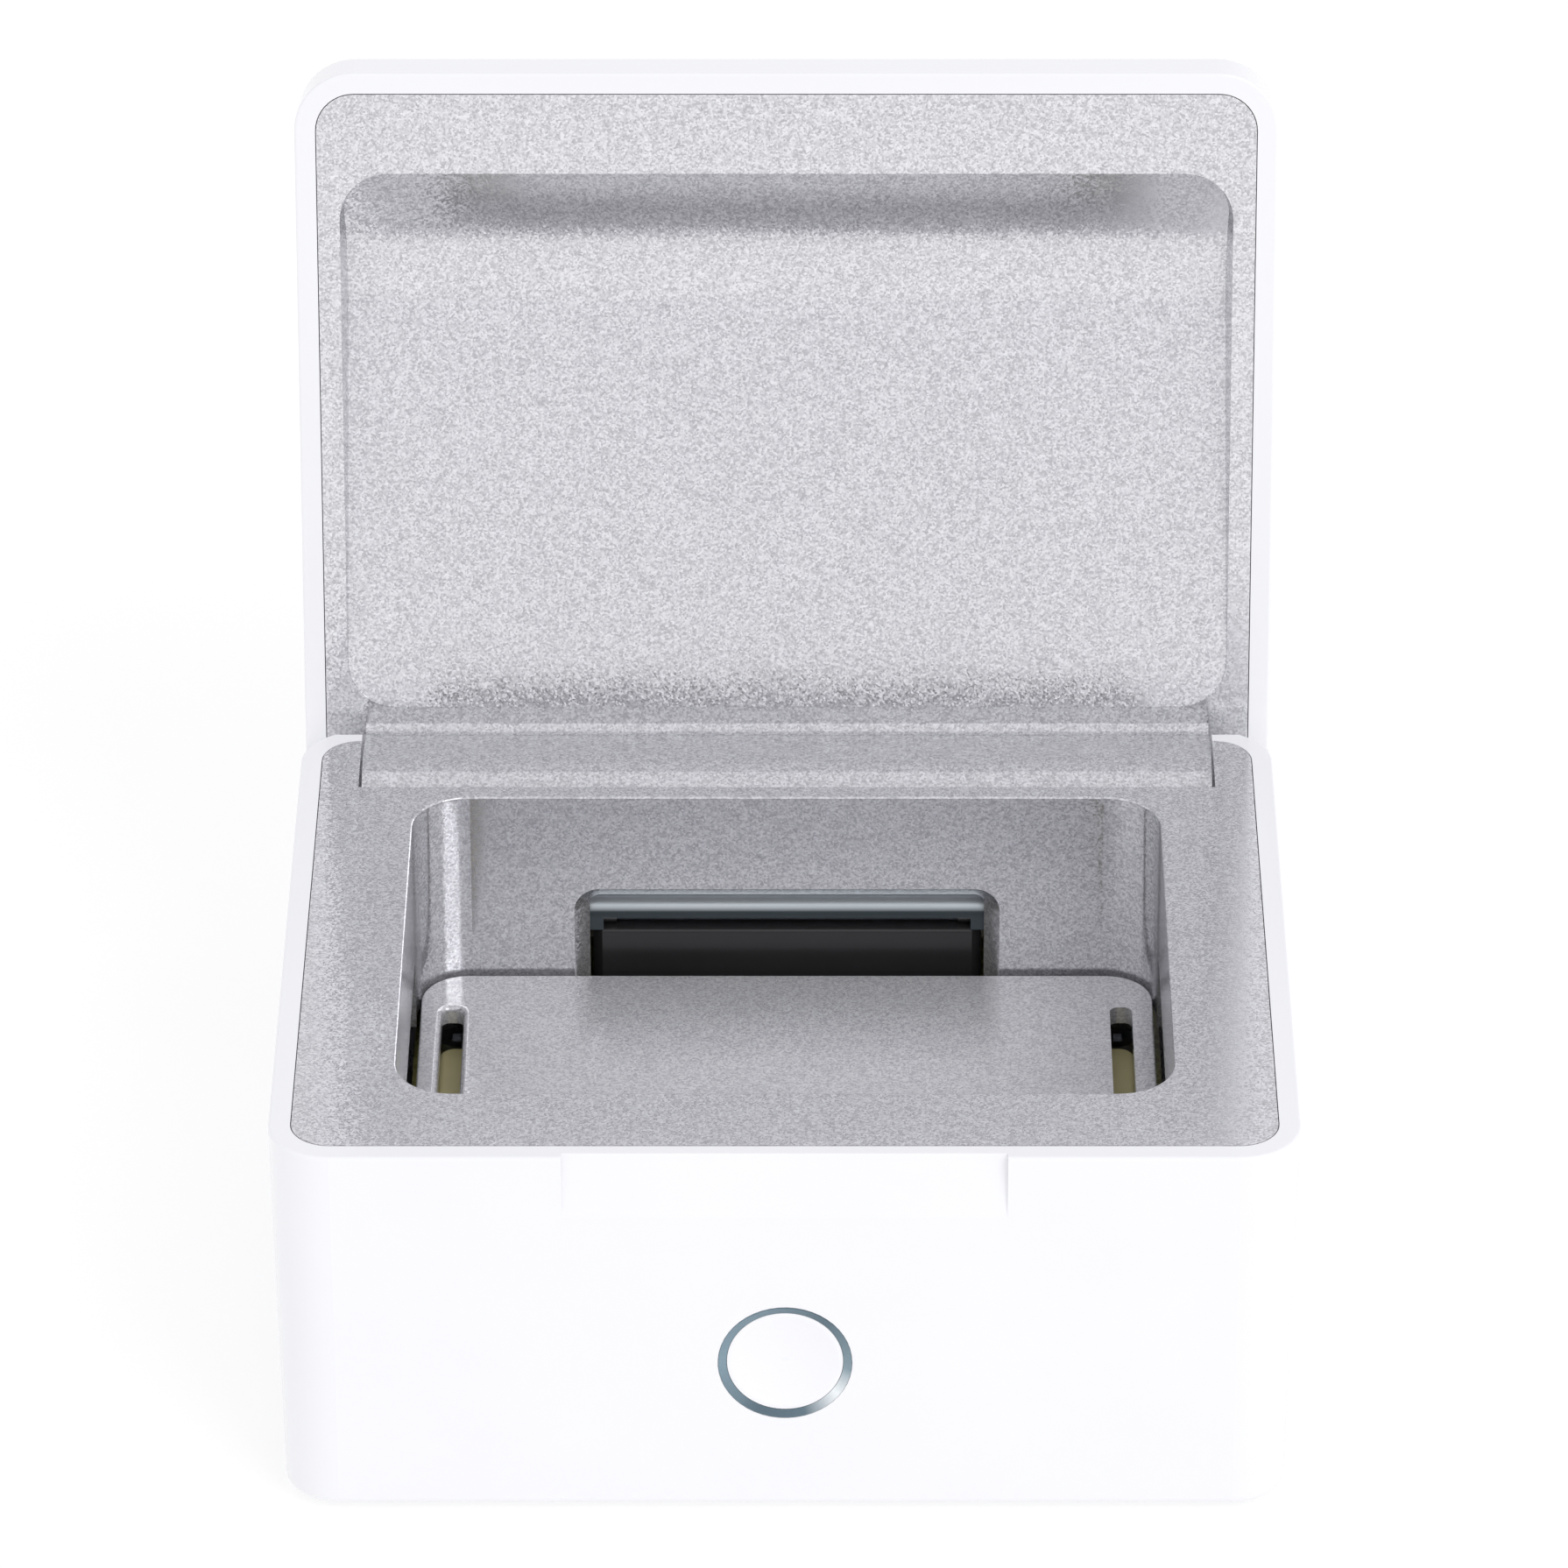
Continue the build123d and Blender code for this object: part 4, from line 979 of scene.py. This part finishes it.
@dataclass
class Electronics:
    """The circuit board, what it carries and the power socket.

    Attributes:
        legs: Legs on each long side of the control chip.
        leg_pitch: Their pitch.
        leg_width: Width of a leg.
        leg_thickness: Thickness of a leg.
        leg_reach: How far a leg stands out from the chip.
        leg_foot: Length of its foot and of its shoulder, as a share of that reach.
        resistors: Chip resistors in the row beside the control chip.
        resistor_pitch: Their pitch.
        resistor_size: A resistor's size along X, Y and Z.
        resistor_gap: From the row to the control chip.
        cap_length: Length of a resistor's tinned end.
        cap_swell: How far that end stands out beside and above the body.
    """

    legs: int = 7
    leg_pitch: float = 0.9 * MM
    leg_width: float = 0.35 * MM
    leg_thickness: float = 0.15 * MM
    leg_reach: float = 0.7 * MM
    leg_foot: float = 0.7
    resistors: int = 6
    resistor_pitch: float = 2.1 * MM
    resistor_size: tuple[float, float, float] = (1.25 * MM, 2.0 * MM, 0.5 * MM)
    resistor_gap: float = 4.0 * MM
    cap_length: float = 0.4 * MM
    cap_swell: float = 0.03 * MM

    def chip_legs(self) -> None:
        """Makes the legs along both sides of the control chip."""
        low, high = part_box("control_chip")
        rows = RepeatTree(
            "chip_leg_rows",
            {
                "Legs": self.legs,
                "Pitch": self.leg_pitch,
                "Leg Width": self.leg_width,
                "Leg Thickness": self.leg_thickness,
                "Leg Reach": self.leg_reach,
                "Leg Height": (high.z - low.z) / 2,
                "Chip Side": (high.y - low.y) / 2,
                "First Leg": (1 - self.legs) / 2 * self.leg_pitch,
            },
        )
        width, thickness = rows.size("Leg Width"), rows.size("Leg Thickness")
        reach, height = rows.size("Leg Reach"), rows.size("Leg Height")
        flat = rows.vector(width, rows.times(reach, self.leg_foot), thickness)
        upright = rows.vector(width, thickness, height)
        # each bar's size, how far out its middle is as a share of the reach, and what its middle's
        # height is a share of: a foot on the board, an upright, a shoulder that enters the chip
        bars = (
            (flat, 1 - self.leg_foot / 2, thickness, 0.5),
            (upright, self.leg_foot / 2, height, 0.5),
            (flat, 0.0, height, 1.0),
        )
        leg = rows.joined(
            *(
                rows.moved(
                    rows.add("GeometryNodeMeshCube", {"Size": size}),
                    rows.vector(0.0, rows.times(reach, out), rows.times(rise, share)),
                )
                for size, out, rise, share in bars
            )
        )
        side = rows.row(
            leg,
            "Legs",
            rows.vector(rows.size("First Leg"), rows.size("Chip Side"), 0.0),
            rows.vector(rows.size("Pitch"), 0.0, 0.0),
        )
        centre = middle("control_chip")
        legs = rows.moved(rows.with_its_twin(side), (centre.x, centre.y, low.z))
        rows.piece("chip_legs", "base", legs, Finishes.SOLDER)

    def resistor_body(self, rows: RepeatTree) -> bpy.types.NodeSocket:
        """The body of one chip resistor."""
        body = rows.vector(rows.size("Width"), rows.size("Depth"), rows.size("Height"))
        return rows.add("GeometryNodeMeshCube", {"Size": body})

    def resistor_tips(self, rows: RepeatTree) -> bpy.types.NodeSocket:
        """Makes both tinned ends of one chip resistor.

        Args:
            rows: The tree that they go into.

        Returns:
            The two ends.
        """
        swell = rows.vector(rows.size("End Swell"), 0.0, rows.size("End Swell"))
        size = rows.vector(rows.size("Width"), rows.size("End Length"), rows.size("Height"))
        grown = rows.add("ShaderNodeVectorMath", {0: size, 1: swell}, operation="ADD")
        cap = rows.add("GeometryNodeMeshCube", {"Size": grown})
        out = rows.times(rows.size("Depth"), 0.5)
        return rows.with_its_twin(rows.moved(cap, rows.vector(0.0, out, 0.0)))

    def resistor_row(self) -> None:
        """Makes the row of chip resistors, and their tinned ends."""
        low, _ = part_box("control_chip")
        length, depth, height = self.resistor_size
        start = (
            low.x - self.resistor_gap - (self.resistors - 1) * self.resistor_pitch,
            middle("control_chip").y,
            low.z + height / 2,
        )
        for name, one, finish, slot in (
            ("resistors", self.resistor_body, Finishes.RESISTOR, "black_plastic"),
            ("resistor_ends", self.resistor_tips, Finishes.SOLDER, "steel"),
        ):
            rows = RepeatTree(
                name + "_row",
                {
                    "Resistors": self.resistors,
                    "Pitch": self.resistor_pitch,
                    "Width": length,
                    "Depth": depth,
                    "Height": height,
                    "End Length": self.cap_length,
                    "End Swell": self.cap_swell,
                },
            )
            step = rows.vector(rows.size("Pitch"), 0.0, 0.0)
            shape = rows.row(one(rows), "Resistors", start, step)
            rows.piece(name, "base", shape, finish)

    def dress(self) -> None:
        """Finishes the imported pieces."""
        dress(Finishes.BOARD, "circuit_board")
        dress(Finishes.SCREW, "board_screws")
        dress(Finishes.CHIP, "control_chip", "thermal_cutoff")
        dress(Finishes.CAN, "capacitors")
        dress(Finishes.BLACK, "power_socket")
        dress(Finishes.PIN, "socket_pin")
        self.chip_legs()
        self.resistor_row()


@dataclass
class LampUnit:
    """The ultraviolet lamp behind the chamber's window.

    Attributes:
        pins: Contact pins at each end of the lamp.
        pin_pitch: Their pitch.
        pin_radius: Radius of a pin.
        pin_length: How far a pin stands out of its cap.
        pin_sides: Sides of the drawn pin.
    """

    pins: int = 2
    pin_pitch: float = 1.1 * MM
    pin_radius: float = 0.2 * MM
    pin_length: float = 0.6 * MM
    pin_sides: int = 12

    def contact_pins(self) -> None:
        """Makes the contact pins at both ends of the lamp."""
        low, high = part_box("lamp_caps")
        ends = RepeatTree(
            "lamp_pin_pairs",
            {
                "Pins": self.pins,
                "Pitch": self.pin_pitch,
                "Radius": self.pin_radius,
                "Length": self.pin_length,
                "Sides": self.pin_sides,
                "Lamp End": (high.x - low.x) / 2,
                "Lowest Pin": (1 - self.pins) / 2 * self.pin_pitch,
            },
        )
        sizes = {"Vertices": "Sides", "Radius": "Radius", "Depth": "Length"}
        rod = ends.add(
            "GeometryNodeMeshCylinder",
            {socket: ends.size(label) for socket, label in sizes.items()},
        )
        lying = ends.add(
            "GeometryNodeTransform", {"Geometry": rod, "Rotation": (0.0, math.pi / 2, 0.0)}
        )
        out = ends.add(
            "ShaderNodeMath",
            {0: ends.size("Lamp End"), 1: ends.times(ends.size("Length"), 0.5)},
            operation="ADD",
        )
        pair = ends.row(
            lying,
            "Pins",
            ends.vector(out, 0.0, ends.size("Lowest Pin")),
            ends.vector(0.0, 0.0, ends.size("Pitch")),
        )
        pins = ends.moved(ends.with_its_twin(pair), middle("lamp_caps"))
        ends.piece("lamp_pins", "base", pins, Finishes.SOLDER)

    def dress(self) -> None:
        """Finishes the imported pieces."""
        dress(Finishes.LAMP_BOX, "lamp_box")
        dress(Finishes.HOOD, "lamp_hood")
        dress(Finishes.QUARTZ, "uv_lamp")
        dress(Finishes.LAMP_CAP, "lamp_caps")
        dress(Finishes.BOARD, "lamp_board")
        dress(Finishes.BRACKET, "lamp_bracket")
        self.contact_pins()


# ---------------------------------------------------------------- stage


@dataclass(frozen=True)
class Softbox:
    """One soft light.

    Attributes:
        name: What it is called.
        place: Where it stands, in metres.
        width: The side of its square, in metres.
        power: Its power in watts.
        colour: Its sRGB colour.
    """

    name: str
    place: tuple[float, float, float]
    width: float
    power: float
    colour: str = "FFFFFF"

    def switch_on(self, aim: Vector) -> None:
        """Adds the light.

        Args:
            aim: The point that it is turned towards.
        """
        data = bpy.data.lights.new(self.name, "AREA")
        data.shape = "SQUARE"
        data.size = self.width
        data.energy = self.power
        data.color = linear(self.colour)[:3]
        lamp = bpy.data.objects.new(self.name, data)
        lamp.location = self.place
        lamp.rotation_euler = (aim - lamp.location).to_track_quat("-Z", "Y").to_euler()
        bpy.context.scene.collection.objects.link(lamp)


@dataclass(frozen=True)
class Studio:
    """A pale floor under soft light from all round.

    Attributes:
        floor_side: Side of the square floor, in metres.
        floor_gap: How far the floor lies below the foot strip, so that they don't coincide.
        floor_colour: Its sRGB colour.
        floor_roughness: How dull it is.
        floor_glow: How much light it gives by itself, as if lit from below.
        sky_colour: The sRGB colour of the light from all round.
        horizon_strength: Its strength level with the floor.
        overhead_strength: Its strength from haze_top upwards.
        haze_top: The sine of the height where the brighter haze ends.
        softboxes: The lights.
    """

    floor_side: float = 8.0
    floor_gap: float = 0.05 * MM
    floor_colour: str = "A6A6A6"
    floor_roughness: float = 0.9
    floor_glow: float = 0.64
    sky_colour: str = "FCFCFF"
    horizon_strength: float = 1.03
    overhead_strength: float = 0.87
    haze_top: float = 0.5
    softboxes: tuple[Softbox, ...] = (
        Softbox("key_softbox", (0.8, -1.0, 1.25), 0.9, 7.5),
    )

    def lay_floor(self) -> None:
        """Lays the floor, which is clear when seen from below, so that the underside shows."""
        half = self.floor_side / 2
        level = -self.floor_gap
        corners = [(x * half, y * half, level) for x, y in ((-1, -1), (1, -1), (1, 1), (-1, 1))]
        mesh = bpy.data.meshes.new("floor")
        mesh.from_pydata(corners, [], [(0, 1, 2, 3)])
        floor = bpy.data.objects.new("floor", mesh)
        bpy.context.scene.collection.objects.link(floor)
        material = bpy.data.materials.new("white_paper")
        material.use_nodes = True
        tree = material.node_tree
        shader = tree.nodes["Principled BSDF"]
        shader.inputs["Base Color"].default_value = linear(self.floor_colour)
        shader.inputs["Roughness"].default_value = self.floor_roughness
        shader.inputs["Emission Color"].default_value = linear("FFFFFF")
        shader.inputs["Emission Strength"].default_value = self.floor_glow
        below = add_node(tree, "ShaderNodeNewGeometry").outputs["Backfacing"]
        clear = add_node(tree, "ShaderNodeBsdfTransparent").outputs["BSDF"]
        one_sided = add_node(
            tree, "ShaderNodeMixShader", {0: below, 1: shader.outputs["BSDF"], 2: clear}
        )
        surface = tree.nodes["Material Output"].inputs["Surface"]
        tree.links.new(one_sided.outputs["Shader"], surface)
        mesh.materials.append(material)

    def light_sky(self) -> None:
        """Lights the sky, which gets dimmer from the horizon up."""
        world = bpy.data.worlds.new("studio")
        world.use_nodes = True
        tree = world.node_tree
        sky = tree.nodes["Background"]
        sky.inputs["Color"].default_value = linear(self.sky_colour)
        direction = add_node(tree, "ShaderNodeTexCoord").outputs["Generated"]
        height = add_node(tree, "ShaderNodeSeparateXYZ", {"Vector": direction}).outputs["Z"]
        haze = add_node(
            tree,
            "ShaderNodeMapRange",
            {
                "Value": height,
                "From Max": self.haze_top,
                "To Min": self.horizon_strength,
                "To Max": self.overhead_strength,
            },
        )
        tree.links.new(haze.outputs["Result"], sky.inputs["Strength"])
        bpy.context.scene.world = world

    def set_up(self) -> None:
        """Lays the floor, lights the sky and switches on the lights."""
        self.lay_floor()
        self.light_sky()
        aim = (CAD_BOX[0] + CAD_BOX[1]) / 2
        for softbox in self.softboxes:
            softbox.switch_on(aim)
        bpy.context.scene.view_settings.view_transform = "Standard"


@dataclass(frozen=True)
class PhotoCamera:
    """The camera, where the photograph was taken from.

    Attributes:
        place: Where it is, in metres.
        dip: How far it looks down, in degrees.
        focal_length: In millimetres.
        sensor_width: In millimetres.
        shift_x: Sideways shift of the frame, as a share of its width.
        nearest: The least distance at which it sees, in metres.
    """

    place: tuple[float, float, float] = (0.0037, -0.86665, 0.5751)
    dip: float = 30.6
    focal_length: float = 222.6
    sensor_width: float = 36.0
    shift_x: float = -0.0237
    nearest: float = 0.01

    def set_up(self) -> None:
        """Adds the camera and makes it the scene's."""
        data = bpy.data.cameras.new("camera")
        data.lens = self.focal_length
        data.sensor_width = self.sensor_width
        data.shift_x = self.shift_x
        data.clip_start = self.nearest
        camera = bpy.data.objects.new("camera", data)
        camera.location = self.place
        camera.rotation_euler = (math.radians(90.0 - self.dip), 0.0, 0.0)
        bpy.context.scene.collection.objects.link(camera)
        bpy.context.scene.camera = camera


def main() -> None:
    """Builds every sub-assembly, then the stage and the camera."""
    for assembly in (Case(), Chamber(), Lid(), PushButton(), Blower(), Electronics(), LampUnit()):
        assembly.dress()
        log.info("%s done", type(assembly).__name__)
    Studio().set_up()
    PhotoCamera().set_up()


if __name__ == "__main__":
    logging.basicConfig(level=logging.INFO, format="%(name)s: %(message)s")
    main()
